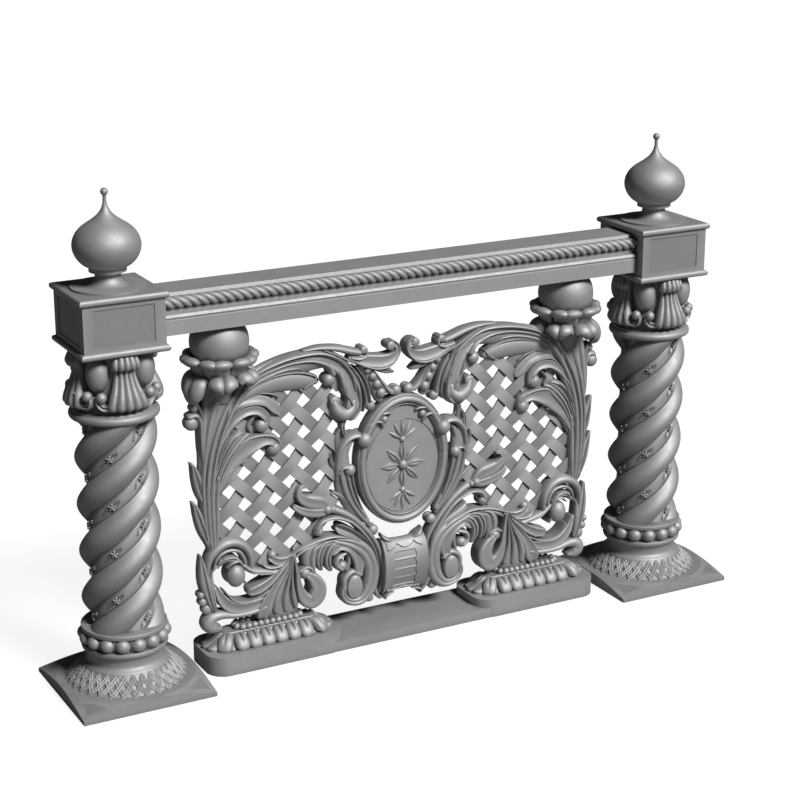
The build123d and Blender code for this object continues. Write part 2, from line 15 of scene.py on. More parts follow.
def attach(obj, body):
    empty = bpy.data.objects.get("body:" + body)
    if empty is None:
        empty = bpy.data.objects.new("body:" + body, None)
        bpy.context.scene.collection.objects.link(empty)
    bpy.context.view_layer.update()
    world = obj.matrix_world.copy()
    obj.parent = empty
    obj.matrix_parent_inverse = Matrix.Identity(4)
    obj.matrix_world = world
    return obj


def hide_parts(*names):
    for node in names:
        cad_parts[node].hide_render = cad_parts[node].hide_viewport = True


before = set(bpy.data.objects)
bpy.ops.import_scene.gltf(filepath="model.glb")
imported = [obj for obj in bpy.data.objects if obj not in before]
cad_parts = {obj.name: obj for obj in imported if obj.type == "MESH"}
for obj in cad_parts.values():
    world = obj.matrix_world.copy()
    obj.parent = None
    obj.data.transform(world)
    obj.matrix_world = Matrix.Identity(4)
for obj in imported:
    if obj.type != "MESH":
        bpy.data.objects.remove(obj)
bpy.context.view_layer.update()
MM = 0.001

# %% [markdown]
# The stone is one mid-grey all over, rubbed to a soft sheen. A stone surface is never one flat colour: it has
# a fine grain and faint clouds from block to block. Both are made from noise on Object coordinates, so they
# stay in the stone when the camera moves. Over them lies painted light: painted shade in the creases and
# hollows, from the mesh's own pointiness and an ambient occlusion node, and a painted highlight on the edges,
# from the pointiness.

# %% Make the stone
def stone_material(name, colour, grain):
    """A rubbed stone: cloudy colour, a fine grain in the bump, painted shade in the hollows and a painted
    highlight on the edges.
    """
    material = bpy.data.materials.new(name)
    material.use_nodes = True
    nodes, links = material.node_tree.nodes, material.node_tree.links
    shader = nodes["Principled BSDF"]
    place = nodes.new("ShaderNodeTexCoord")

    def noise(scale, detail):
        node = nodes.new("ShaderNodeTexNoise")
        node.inputs["Scale"].default_value = scale
        node.inputs["Detail"].default_value = detail
        links.new(place.outputs["Object"], node.inputs["Vector"])
        return node.outputs["Fac"]

    def ramp(source, stops):
        node = nodes.new("ShaderNodeValToRGB")
        for element, (position, shade) in zip(node.color_ramp.elements, stops):
            element.position = position
            element.color = (*shade, 1.0)
        links.new(source, node.inputs["Fac"])
        return node.outputs["Color"]

    def multiply(first, second, amount):
        node = nodes.new("ShaderNodeMix")
        node.data_type = "RGBA"
        node.blend_type = "MULTIPLY"
        node.inputs["Factor"].default_value = amount
        links.new(first, node.inputs["A"])
        links.new(second, node.inputs["B"])
        return node.outputs["Result"]

    cloud = ramp(noise(9.0, 4.0), ((0.35, [c * 0.94 for c in colour]), (0.65, [c * 1.06 for c in colour])))
    grains = ramp(noise(420.0, 3.0), ((0.30, (0.86, 0.86, 0.86)), (0.62, (1.0, 1.0, 1.0))))
    geometry = nodes.new("ShaderNodeNewGeometry")
    # Painted light from the mesh's pointiness: painted shade darkens the creases, and a painted highlight
    # pales the edges and ridges.
    edges = ramp(geometry.outputs["Pointiness"], ((0.42, (0.5, 0.5, 0.5)), (0.56, (1.25, 1.25, 1.25))))
    # Painted shade in the hollows: an ambient occlusion node darkens the colour where the carving is deep.
    hollow = nodes.new("ShaderNodeAmbientOcclusion")
    hollow.inputs["Distance"].default_value = HOLLOW_REACH
    hollow.samples = 4
    painted_hollow_shade = ramp(hollow.outputs["AO"], ((0.25, (0.3, 0.3, 0.3)), (0.9, (1.0, 1.0, 1.0))))
    # The colour is multiplied by the painted edge light and by the painted hollow shade.
    colour_out = multiply(multiply(multiply(cloud, grains, 0.5), edges, 0.7), painted_hollow_shade, 1.0)
    links.new(colour_out, shader.inputs["Base Color"])
    rough = ramp(noise(60.0, 3.0), ((0.3, [SMOOTHEST] * 3), (0.7, [ROUGHEST] * 3)))
    shader.inputs["Specular IOR Level"].default_value = 1.0
    shader.inputs["IOR"].default_value = STONE_IOR
    links.new(rough, shader.inputs["Roughness"])
    bump = nodes.new("ShaderNodeBump")
    bump.inputs["Distance"].default_value = grain
    bump.inputs["Strength"].default_value = 0.25
    links.new(noise(700.0, 4.0), bump.inputs["Height"])
    links.new(bump.outputs["Normal"], shader.inputs["Normal"])
    return material


STONE_GREY = (0.18, 0.18, 0.18)
STONE_GRAIN = 0.0003
# HOLLOW_REACH is how far the ambient occlusion for the painted hollow shade reaches, in metres.
HOLLOW_REACH = 0.022
SMOOTHEST = 0.6
ROUGHEST = 0.68
STONE_IOR = 2.1
stone = stone_material("grey_stone", STONE_GREY, STONE_GRAIN)
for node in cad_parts.values():
    node.data.materials.clear()
    node.data.materials.append(stone)
print("stone", STONE_GREY)

# %% [markdown]
# Every carved piece ends the same way: doubles merged, faces turned outwards, millimetres made metres, curved
# faces shaded smooth with their real arrises kept sharp, and the solids it stands for hidden.

# %% Helpers that finish a piece and copy a motif
def finish_piece(bm, name, nodes, arris=38.0):
    """Turns a bmesh drawn in millimetres into a stone piece in place of some nodes."""
    bmesh.ops.remove_doubles(bm, verts=bm.verts, dist=0.02)
    bmesh.ops.recalc_face_normals(bm, faces=bm.faces)
    bmesh.ops.scale(bm, vec=(MM, MM, MM), verts=bm.verts)
    mesh = bpy.data.meshes.new(name)
    bm.to_mesh(mesh)
    bm.free()
    mesh.shade_smooth()
    mesh.set_sharp_from_angle(angle=math.radians(arris))
    piece = bpy.data.objects.new(name, mesh)
    bpy.context.scene.collection.objects.link(piece)
    mesh.materials.append(stone)
    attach(piece, "root")
    if nodes:
        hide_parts(*nodes)
    print(name, "faces", len(mesh.polygons))
    return piece


def as_mesh(bm):
    """Keeps a motif as a mesh, to be copied into pieces."""
    mesh = bpy.data.meshes.new("motif")
    bm.to_mesh(mesh)
    bm.free()
    return mesh


def add_copy(bm, motif, matrix=Matrix.Identity(4)):
    """Copies a motif into a piece, placed by a matrix."""
    before = len(bm.verts)
    bm.from_mesh(motif)
    bm.verts.ensure_lookup_table()
    bmesh.ops.transform(bm, matrix=matrix, verts=bm.verts[before:])


def turn_z(degrees):
    return Matrix.Rotation(math.radians(degrees), 4, "Z")


def shift(x, y, z):
    return Matrix.Translation((x, y, z))


MIRROR_X = Matrix.Diagonal((-1, 1, 1, 1))


# %% Helpers that draw smooth lines, turned shapes and balls
def smooth_line(points, steps=6):
    """More points on a smooth line through the given ones, each a tuple of any length."""
    line = []
    last = len(points) - 1
    for i in range(last):
        p0, p1, p2, p3 = points[max(i - 1, 0)], points[i], points[i + 1], points[min(i + 2, last)]
        for k in range(steps):
            t = k / steps
            line.append(tuple(0.5 * (2 * b + (c - a) * t + (2 * a - 5 * b + 4 * c - d) * t * t
                                     + (3 * b - a - 3 * c + d) * t ** 3) for a, b, c,
                                     d in zip(p0, p1, p2, p3)))
    return line + [tuple(points[-1])]


def turned(outline, segments=96):
    """A motif turned about Z from (radius, height) points."""
    bm = bmesh.new()
    line = [bm.verts.new((radius, 0, height)) for radius, height in outline]
    edges = [bm.edges.new(pair) for pair in zip(line, line[1:])]
    bmesh.ops.spin(bm, geom=line + edges, axis=(0, 0, 1), angle=2 * math.pi, steps=segments, use_merge=True)
    bmesh.ops.remove_doubles(bm, verts=bm.verts, dist=0.02)
    return as_mesh(bm)


def ball_motif(segments, rings):
    bm = bmesh.new()
    bmesh.ops.create_uvsphere(bm, u_segments=segments, v_segments=rings, radius=1.0)
    return as_mesh(bm)


BALL = ball_motif(28, 16)
SMALL_BALL = ball_motif(14, 8)


def add_ball(bm, place, radii, motif=BALL):
    """A ball or an egg at a place, with its three half sizes."""
    add_copy(bm, motif, Matrix.Translation(place) @ Matrix.Diagonal((*radii, 1)))


print("helpers that draw lines, turned shapes and balls: ready")


# %% Helper that carves along a line, by extruding a section from frame to frame
def sweep(section, frames):
    """A closed motif: the section's (a, b) points lie at (a, 0, b) in each frame."""
    bm = bmesh.new()
    ring = [bm.verts.new((a, 0, b)) for a, b in section]
    edges = [bm.edges.new((ring[i - 1], ring[i])) for i in range(len(ring))]
    bmesh.ops.transform(bm, matrix=frames[0], verts=ring)
    for before, after in zip(frames, frames[1:]):
        made = bmesh.ops.extrude_edge_only(bm, edges=edges)["geom"]
        ring = {g for g in made if isinstance(g, bmesh.types.BMVert)}
        edges = [g for g in made if isinstance(g, bmesh.types.BMEdge) and set(g.verts) <= ring]
        bmesh.ops.transform(bm, matrix=after @ before.inverted(), verts=list(ring))
    open_edges = [edge for edge in bm.edges if edge.is_boundary]
    bmesh.ops.holes_fill(bm, edges=open_edges, sides=0)
    return as_mesh(bm)


def frame_at(place, across, out, width, depth):
    """A section's frame: width and depth are its half sizes across and outwards."""
    across, out = Vector(across).normalized(), Vector(out).normalized()
    along = out.cross(across)
    turn = Matrix((across * width, along, out * depth)).transposed().to_4x4()
    return Matrix.Translation(place) @ turn


print("helpers ready")


# %% [markdown]
# A post stands on a square slab whose sides are cut as low arches, with a small triangle sunk in each corner.
# The measured slab has the right shape, so a copy of it is merged and the four triangles are cut with a
# boolean.

# %% Post sizes, in millimetres from the post's own axis
POST_X = 780.0
SLAB_TOP = 33.0
CORNER_MARK_TIP = 158.0
CORNER_MARK_ARM = 104.0
CORNER_MARK_MIDDLE = 131.0
CORNER_MARK_LEVEL = 29.05
CORNER_MARK_DEPTH = 0.8
CORNER_FALL = 17.8


def corner_mark():
    """A triangular prism that dips into the slab's falling corner."""
    bm = bmesh.new()
    tip, arm = CORNER_MARK_TIP, CORNER_MARK_ARM
    low = [bm.verts.new(p) for p in ((tip, tip, 0), (tip, arm, 0), (arm, tip, 0))]
    face = bm.faces.new(low)
    raised = bmesh.ops.extrude_face_region(bm, geom=[face])["geom"]
    bmesh.ops.translate(bm, vec=(0, 0, 40), verts=[g for g in raised if isinstance(g, bmesh.types.BMVert)])
    bmesh.ops.recalc_face_normals(bm, faces=bm.faces)
    return as_mesh(bm)


def slab_piece(side, x):
    """The measured slab with a sunk triangle in each corner."""
    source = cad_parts[side + "_post_slab"].data
    bm = bmesh.new()
    bm.from_mesh(source)
    bmesh.ops.scale(bm, vec=(1 / MM, 1 / MM, 1 / MM), verts=bm.verts)
    bmesh.ops.translate(bm, vec=(-x, 0, 0), verts=bm.verts)
    bmesh.ops.remove_doubles(bm, verts=bm.verts, dist=0.02)
    bmesh.ops.dissolve_limit(bm, angle_limit=math.radians(0.5), verts=bm.verts, edges=bm.edges)
    slab = bpy.data.objects.new("slab_blank", as_mesh(bm))
    cut = bmesh.new()
    tilt = Matrix.Rotation(math.radians(-CORNER_FALL), 4, Vector((1, -1, 0)))
    for k in range(4):
        level = CORNER_MARK_LEVEL - CORNER_MARK_DEPTH
        sunk = shift(CORNER_MARK_MIDDLE, CORNER_MARK_MIDDLE, level) @ tilt
        sunk = sunk @ shift(-CORNER_MARK_MIDDLE, -CORNER_MARK_MIDDLE, 0)
        add_copy(cut, CORNER_MARK, turn_z(90 * k) @ sunk)
    cutter = bpy.data.objects.new("slab_cutter", as_mesh(cut))
    for thing in (slab, cutter):
        bpy.context.scene.collection.objects.link(thing)
    boolean = slab.modifiers.new("marks", "BOOLEAN")
    boolean.object = cutter
    boolean.operation = "DIFFERENCE"
    boolean.solver = "EXACT"
    cutter.hide_render = True
    depsgraph = bpy.context.evaluated_depsgraph_get()
    result = bmesh.new()
    result.from_mesh(bpy.data.meshes.new_from_object(slab.evaluated_get(depsgraph)))
    bpy.data.objects.remove(slab)
    bpy.data.objects.remove(cutter)
    bmesh.ops.translate(result, vec=(x, 0, 0), verts=result.verts)
    return finish_piece(result, side + "_slab_carved", [side + "_post_slab"], arris=11)


CORNER_MARK = corner_mark()
print("post sizes noted")


# %% [markdown]
# The base is turned: a spreading skirt, a hollow, a ring, a seat for round beads and a flat disc. Round the
# skirt runs a basket weave of narrow slats that lean both ways. Each slat is one short sweep along the
# skirt's curve, turned round the axis thirty-two times one way and as often the other, a little lower.

# %% Base of a post
SKIRT_LINE = smooth_line([(148, SLAB_TOP), (137, 42), (122, 56), (109, 68)], 5)
SLAT_COUNT = 32
SLAT_LEAN = 16.0
SLAT_HALF_WIDTH = 6.2
SLAT_HEIGHT = 4.6
UNDER_SLAT_HEIGHT = 4.232
BEAD_COUNT = 16
BEAD_RADIUS = 19.2
BEAD_CENTRE_RADIUS = 97.5
BEAD_HEIGHT = 147.0
BEAD_HALF_HEIGHT = 18.0


def slat(lean, rise):
    """A narrow slat with two ridges, laid along the skirt and leaning round it."""
    section = [(-1, -0.6), (-1, 0.55), (-0.55, 1), (0, 0.45), (0.55, 1), (1, 0.55), (1, -0.6)]
    frames = []
    for i, (radius, height) in enumerate(SKIRT_LINE):
        t = i / (len(SKIRT_LINE) - 1)
        angle = math.radians(lean * (t - 0.5))
        before, after = SKIRT_LINE[max(i - 1, 0)], SKIRT_LINE[min(i + 1, len(SKIRT_LINE) - 1)]
        fall = (before[0] - after[0], after[1] - before[1])
        out = Vector((fall[1], 0, fall[0]))
        swing = math.radians(lean) / (len(SKIRT_LINE) - 1) * radius
        along = Vector((-fall[0], 2 * swing, fall[1]))
        across = along.cross(out)
        turn = Matrix.Rotation(angle, 3, "Z")
        place = (radius * math.cos(angle), radius * math.sin(angle), height)
        frames.append(frame_at(place, turn @ across, turn @ out, SLAT_HALF_WIDTH, rise))
    return sweep(section, frames)


def base_motif():
    """The turned base with its basket weave."""
    bm = bmesh.new()
    outline = [(0, SLAB_TOP - 1), (148, SLAB_TOP - 1)] + SKIRT_LINE + [(107, 74)]
    outline += smooth_line([(106, 76), (97, 84), (95.5, 96), (98, 107), (104, 114)], 4)
    outline += [(104, 115)] + smooth_line([(106.5, 116), (108, 122), (106.5, 128)], 4)
    outline += [(99, 129), (95, 131), (95, 163), (106, 164), (107, 165.5), (107, 174), (106, 175), (0, 175)]
    add_copy(bm, turned(outline))
    for lean, rise in ((SLAT_LEAN, SLAT_HEIGHT), (-SLAT_LEAN, UNDER_SLAT_HEIGHT)):
        motif = slat(lean, rise)
        for k in range(SLAT_COUNT):
            add_copy(bm, motif, turn_z(360 / SLAT_COUNT * (k + 0.5)))
    return as_mesh(bm)


def dart():
    """The thin upright leaf between two beads."""
    section = [(-1, -0.5), (-0.8, 0.3), (0, 1), (0.8, 0.3), (1, -0.5)]
    frames = []
    for height, width in ((129, 1.4), (136, 2.4), (146, 3.2), (156, 3.0), (164, 2.2)):
        radius = 97 + 3.5 * math.sin(math.pi * (height - 129) / 38)
        frames.append(frame_at((radius, 0, height), (0, 1, 0), (1, 0, 0), width, 5.0))
    return sweep(section, frames)


def bead_ring_motif():
    """Round beads side by side, and the low drum behind them."""
    bm = bmesh.new()
    motif = dart()
    add_copy(bm, turned([(94, 129), (98, 131), (99, 138), (99, 155), (98, 163), (94, 164), (94, 129)]))
    for k in range(BEAD_COUNT):
        step = 360 / BEAD_COUNT
        add_copy(bm, motif, turn_z(step * (k + 0.5)))
        shape = Matrix.Diagonal((BEAD_RADIUS, BEAD_RADIUS, BEAD_HALF_HEIGHT, 1))
        bead = shift(BEAD_CENTRE_RADIUS, 0, BEAD_HEIGHT) @ shape
        add_copy(bm, BALL, turn_z(step * k) @ bead)
    return as_mesh(bm)


print("base of a post: ready")


# %% [markdown]
# The shaft is three fat strands wound round each other. In each valley between two strands lies a narrow band
# with a thin bead line under the upper strand and a row of small flowers on a twig. The section across the
# shaft is drawn once and extruded upwards while it turns, and the flowers are copied along the same helix.

# %% Twisted shaft
SHAFT_BOTTOM = 175.0
SHAFT_TOP = 712.0
STRAND_RADIUS = 52.0
STRAND_OFFSET = 49.0
TWIST_LEAD = 364.5
TWIST_START = 92.0
VALLEY_ANGLE = 64.0
VALLEY_RADIUS = 74.6
FLOWERS_A_TURN = 6
FLOWER_START = 23.0


def strand_edge(angle):
    """The distance from the axis to a strand's surface."""
    side = STRAND_OFFSET * math.sin(math.radians(angle))
    return STRAND_OFFSET * math.cos(math.radians(angle)) + math.sqrt(STRAND_RADIUS ** 2 - side ** 2)


def shaft_section():
    """One third of the section: the strand, a crease, a bead line, the band and a groove; then twice more."""
    third = [(angle, strand_edge(angle)) for angle in range(-38, 43, 5)]
    third += [(43.5, 70.5), (44.4, 74.6), (46.4, 75.8), (48.2, 74), (49.2, 72), (56, 73.8), (64, 74.8),
              (72, 75),
              (78, 74.6), (80, 72.5), (81.4, 73)]
    points = []
    for k in range(3):
        for angle, radius in third:
            turn = math.radians(angle + 120 * k)
            points.append((radius * math.cos(turn), radius * math.sin(turn)))
    return points


def twist_at(height):
    return TWIST_START + 360 * (height - SHAFT_BOTTOM) / TWIST_LEAD


def flower():
    """A small flower with five petals on a twig with two leaves each way, lying along X and facing Y."""
    bm = bmesh.new()
    add_ball(bm, (0, -4.5, 0), (2.8, 3.6, 2.8), SMALL_BALL)
    petal = Matrix.Translation((5.8, -3, 0)) @ Matrix.Diagonal((4.8, 3.8, 2.6, 1))
    for k in range(5):
        add_copy(bm, SMALL_BALL, Matrix.Rotation(math.radians(72 * k + 18), 4, "Y") @ petal)
    section = [(-1, -0.4), (-0.5, 0.7), (0, 1), (0.5, 0.7), (1, -0.4)]
    for way in (1, -1):
        for rise, reach in ((4.5, 27), (-3.0, 23)):
            line = smooth_line([(8, 0, 0.9), (15, rise * 0.8, 2.2), (reach, rise * 0.4, 0.6)], 4)
            frames = []
            for x, z, width in line:
                frames.append(frame_at((way * x, 0, way * z), (0, 0, 1), (0, -1, 0), width, 3.4))
            add_copy(bm, sweep(section, frames))
    return as_mesh(bm)


def shaft_motif():
    bm = bmesh.new()
    lay_flat = Matrix(((1, 0, 0, 0), (0, 0, 1, 0), (0, 1, 0, 0), (0, 0, 0, 1)))
    frames = []
    steps = 96
    for i in range(steps + 1):
        height = SHAFT_BOTTOM + (SHAFT_TOP - SHAFT_BOTTOM) * i / steps
        frames.append(shift(0, 0, height) @ turn_z(twist_at(height)) @ lay_flat)
    add_copy(bm, sweep(shaft_section(), frames))
    motif = flower()
    climb = math.degrees(math.atan2(TWIST_LEAD, 2 * math.pi * VALLEY_RADIUS))
    for valley in range(3):
        height = SHAFT_BOTTOM + FLOWER_START - TWIST_LEAD / FLOWERS_A_TURN
        while height < SHAFT_TOP - 14:
            if height > SHAFT_BOTTOM + 8:
                turn = twist_at(height) + VALLEY_ANGLE + 120 * valley
                lean = Matrix.Rotation(math.radians(-climb), 4, "Y")
                add_copy(bm, motif, shift(0, 0, height) @ turn_z(turn + 90) @ shift(0, -VALLEY_RADIUS,
                                                                                    0) @ lean)
            height += TWIST_LEAD / FLOWERS_A_TURN
    return as_mesh(bm)


print("twisted shaft: ready")


# %% [markdown]
# The capital is a bell behind four fluted shell leaves, one on each face, with an egg on each diagonal. A
# leaf is a grid bent to the bell: it flares and thickens towards its scalloped foot and rolls over at the
# top. At both lower corners a curl ends in a ball. The grid's open edge is drawn back into the bell, so the
# leaf is a closed body.

# %% Capital
CAPITAL_BOTTOM = 738.0
CAPITAL_TOP = 883.0
LEAF_FLUTES = 5
LEAF_RADIUS = 100.0
EGG_OFFSET = 80.0
EGG_MIDDLE = 837.0
EGG_RADIUS = 29.0
EGG_HALF_HEIGHT = 46.0
CURL_TURN = 29.0
LEAF_PROFILE = smooth_line([(0.00, 94, 756, 42), (0.06, 111, 752, 46), (0.16, 120, 761, 48),
                            (0.32, 117, 782, 43),
                            (0.50, 106, 808, 36), (0.66, 98, 830, 32), (0.76, 95, 845, 31),
                            (0.80, 99, 850, 33),
                            (0.86, 109, 851, 35), (0.93, 112, 864, 35), (1.00, 104, 881, 33)], 5)


def leaf_row(t):
    """Radius, height and half width of the shell leaf a share t of the way up."""
    for low, high in zip(LEAF_PROFILE, LEAF_PROFILE[1:]):
        if low[0] <= t <= high[0]:
            share = (t - low[0]) / max(high[0] - low[0], 1e-6)
            return [a + (b - a) * share for a, b in zip(low[1:], high[1:])]
    return LEAF_PROFILE[-1][1:]


def shell_leaf():
    bm = bmesh.new()
    columns, rows = 60, 44
    bmesh.ops.create_grid(bm, x_segments=columns, y_segments=rows, size=1.0)
    for vert in bm.verts:
        across, t = vert.co.x, (vert.co.y + 1) / 2
        radius, height, half = leaf_row(t)
        flute = abs(math.cos(math.pi * LEAF_FLUTES / 2 * (across + 1) + math.pi / 2))
        swell = 5.4 + 3.4 * max(0.0, 1 - t / 0.5)
        radius += swell * (flute ** 0.8 - 0.62) - 7 * across * across
        if t < 0.12:
            height -= 4.5 * (flute - 0.5) * (1 - t / 0.12)
        if 0.76 < t < 0.86:
            height -= 3.0 * (flute - 0.5)
        angle = across * half / LEAF_RADIUS
        vert.co = (radius * math.cos(angle), radius * math.sin(angle), height)
    rim = [edge for edge in bm.edges if edge.is_boundary]
    made = bmesh.ops.extrude_edge_only(bm, edges=rim)["geom"]
    for vert in (g for g in made if isinstance(g, bmesh.types.BMVert)):
        pull = 72 / math.hypot(vert.co.x, vert.co.y)
        vert.co = (vert.co.x * pull, vert.co.y * pull, vert.co.z)
    bmesh.ops.holes_fill(bm, edges=[edge for edge in bm.edges if edge.is_boundary], sides=0)
    return as_mesh(bm)


def corner_curl():
    """The curl at a leaf's lower corner, in the plane of X and Z, facing -Y."""
    bm = bmesh.new()
    section = [(-1, -1), (-1, 0.2), (-0.6, 0.85), (-0.1, 0.45), (0.4, 1), (1, 0.4), (1, -1)]
    line = smooth_line([(-22, 6, 5), (-17, -14, 7), (-5, -26, 8), (8, -27, 8), (18, -17, 8), (20, -4, 6)], 5)
    frames = []
    for i, (x, z, width) in enumerate(line):
        x0, z0 = line[max(i - 1, 0)][:2]
        x1, z1 = line[min(i + 1, len(line) - 1)][:2]
        frames.append(frame_at((x, 0, z), (z1 - z0, 0, x0 - x1), (0, -1, 0), width, 11))
    add_copy(bm, sweep(section, frames))
    add_ball(bm, (11, -5, -1), (12.5, 12.5, 13))
    return as_mesh(bm)


def capital_motif():
    bm = bmesh.new()
    bell = smooth_line([(98, CAPITAL_BOTTOM), (88, 747), (79, 785), (79, 840), (84, CAPITAL_TOP)], 5)
    add_copy(bm, turned([(0, CAPITAL_BOTTOM)] + bell + [(0, CAPITAL_TOP)]))
    leaf, curl = shell_leaf(), corner_curl()
    for k in range(4):
        add_copy(bm, leaf, turn_z(90 * k))
        for side in (1, -1):
            face_out = turn_z(90) @ shift(0, -100, 786) @ Matrix.Diagonal((side, 1, 1, 1))
            add_copy(bm, curl, turn_z(90 * k + side * CURL_TURN) @ face_out)
    return as_mesh(bm)


def eggs_motif():
    bm = bmesh.new()
    for k in range(4):
        shape = Matrix.Diagonal((EGG_RADIUS, EGG_RADIUS, EGG_HALF_HEIGHT, 1))
        egg = shift(EGG_OFFSET, 0, EGG_MIDDLE) @ shape
        add_copy(bm, BALL, turn_z(45 + 90 * k) @ egg)
    bmesh.ops.bisect_plane(bm, geom=bm.verts[:] + bm.edges[:] + bm.faces[:], plane_co=(0, 0, CAPITAL_TOP),
                           plane_no=(0, 0, 1), clear_outer=True)
    bmesh.ops.holes_fill(bm, edges=[edge for edge in bm.edges if edge.is_boundary], sides=0)
    return as_mesh(bm)


print("capital: ready")


# %% Put both posts together
def neck_ring_motif():
    outline = [(0, SHAFT_TOP), (98, SHAFT_TOP)]
    outline += smooth_line([(101, 712.5), (108, 717), (110, 723.5), (108, 730), (101, 735)], 4)
    return turned(outline + [(100, CAPITAL_BOTTOM), (0, CAPITAL_BOTTOM)])


POST_MOTIFS = {"post_base": base_motif(), "bead_ring": bead_ring_motif(), "shaft": shaft_motif(),
               "neck_ring": neck_ring_motif(), "capital": capital_motif(), "capital_eggs": eggs_motif()}
for side, post_x in (("left", -POST_X), ("right", POST_X)):
    slab_piece(side, post_x)
    for part, motif in POST_MOTIFS.items():
        piece_bm = bmesh.new()
        add_copy(piece_bm, motif, shift(post_x, 0, 0))
        finish_piece(piece_bm, f"{side}_{part}_carved", [f"{side}_{part}"])
print("both posts put together")


# %% [markdown]
# The panel is pierced scrollwork, and its right half mirrors its left. A carver draws such work as flowing
# bands: a band starts thin, swells, and ends in a curl or a leaf tip. So one helper sweeps a section along a
# line of a few points, and each point says where the band is, how wide it is and how far it stands out.
# Sections differ: round stems, hollow bands with rolled edges, leaves with a middle groove, and bands with
# several ridges.

# %% Sections of the carved bands, front half, across from -1 to 1
def both_faces(front):
    """A closed section whose back mirrors its front."""
    return front + [(a, -b) for a, b in reversed(front)]


def ribbed(ridges, dip=0.22):
    """Several round ridges side by side on a gentle crown."""
    front = []
    count = ridges * 6
    for i in range(count + 1):
        a = -1 + 2 * i / count
        crown = 0.35 + 0.65 * math.sqrt(max(0.0, 1 - a * a * 0.92))
        front.append((a, crown - dip * (1 - abs(math.sin(math.pi * ridges * (a + 1) / 2)))))
    return both_faces(front)


ROUND = both_faces([(-1, 0.12), (-0.93, 0.45), (-0.72, 0.76), (-0.38, 0.95), (0, 1), (0.38, 0.95),
                    (0.72, 0.76),
                    (0.93, 0.45), (1, 0.12)])
HOLLOW = both_faces([(-1, 0.2), (-0.98, 0.7), (-0.88, 0.96), (-0.74, 0.95), (-0.58, 0.76), (-0.3, 0.58),
                     (0, 0.52),
                     (0.3, 0.58), (0.58, 0.76), (0.74, 0.95), (0.88, 0.96), (0.98, 0.7), (1, 0.2)])
ROLLED = both_faces([(-1, 0.2), (-0.97, 0.7), (-0.84, 0.98), (-0.64, 0.98), (-0.48, 0.78), (-0.2, 0.6),
                     (0.2, 0.54),
                     (0.6, 0.52), (0.9, 0.46), (1, 0.2)])
BOLD = both_faces([(-1, 0.3), (-1, 0.62), (-0.93, 0.84), (-0.78, 0.96), (-0.55, 1), (-0.25, 0.97), (0, 0.95),
                   (0.25, 0.97), (0.55, 1), (0.78, 0.96), (0.93, 0.84), (1, 0.62), (1, 0.3)])
LEAF = both_faces([(-1, 0.25), (-0.86, 0.66), (-0.56, 0.9), (-0.26, 0.94), (-0.1, 0.82), (0, 0.7),
                   (0.1, 0.82),
                   (0.26, 0.94), (0.56, 0.9), (0.86, 0.66), (1, 0.25)])
TWO_RIDGES = ribbed(2, 0.16)
SHALLOW = both_faces([(-1, 0.25), (-0.98, 0.66), (-0.88, 0.9), (-0.7, 0.97), (-0.45, 0.88), (0, 0.78),
                      (0.45, 0.82),
                      (0.75, 0.86), (0.93, 0.74), (1, 0.25)])
print("sections of the carved bands noted")


# %% Helpers that carve a band and set a knob
def band(bm, points, section=ROUND, steps=5):
    """Carves a band with round ends; each point is (x, z, width, depth from the panel's middle plane)."""
    line = smooth_line(points, steps)
    last = len(line) - 1
    frames = []

    def station(i, beyond=0.0, shrink=1.0):
        x, z, width, depth = line[i]
        x0, z0 = line[max(i - 1, 0)][:2]
        x1, z1 = line[min(i + 1, last)][:2]
        along = Vector((x1 - x0, 0, z1 - z0)).normalized()
        place = Vector((x, 0, z)) + along * beyond * width / 2
        across = (along.z, 0, -along.x)
        return frame_at(place, across, (0, -1, 0), max(width * shrink / 2, 0.15), depth * shrink ** 0.5)

    for angle in (86, 70, 50, 25):
        turn = math.radians(angle)
        frames.append(station(0, -math.sin(turn), math.cos(turn)))
    frames += [station(i) for i in range(last + 1)]
    for angle in (25, 50, 70, 86):
        turn = math.radians(angle)
        frames.append(station(last, math.sin(turn), math.cos(turn)))
    add_copy(bm, sweep(section, frames))


def knob(bm, x, z, radius, out=18.0, tall=1.0):
    """A round boss on the front and its twin on the back."""
    for face in (-1, 1):
        add_ball(bm, (x, face * out, z), (radius, radius * 0.85, radius * tall))


DRUM = turned([(0, -1), (0.34, -0.97), (0.6, -0.89), (0.8, -0.77), (0.94, -0.6), (1, -0.42), (1, 0.42),
               (0.94, 0.6),
               (0.8, 0.77), (0.6, 0.89), (0.34, 0.97), (0, 1)], 32)
LEVEL = Matrix.Rotation(math.radians(90), 4, "X")
ROLL = turned([(0, -1), (0.7, -0.98), (0.92, -0.9), (1, -0.76), (1, 0.76), (0.92, 0.9), (0.7, 0.98), (0, 1)],
              32)


def drum(bm, x, z, half_width, half_height, half_depth, shape=None):
    """A rolled end: a short round bar from the panel's front to its back."""
    add_copy(bm, shape or DRUM, shift(x, 0, z) @ LEVEL @ Matrix.Diagonal((half_width, half_height, half_depth,
                                                                          1)))


print("helpers that carve a band and set a knob: ready")


# %% [markdown]
# The big scroll beside the collar: three long stems rise from the collar's side, the outer one to a tulip,
# the next to a hook, the third to a rounded tongue. Inside them a many-ridged band rolls into an oval eye
# below, and throws leaf lobes over a second, smaller curl.

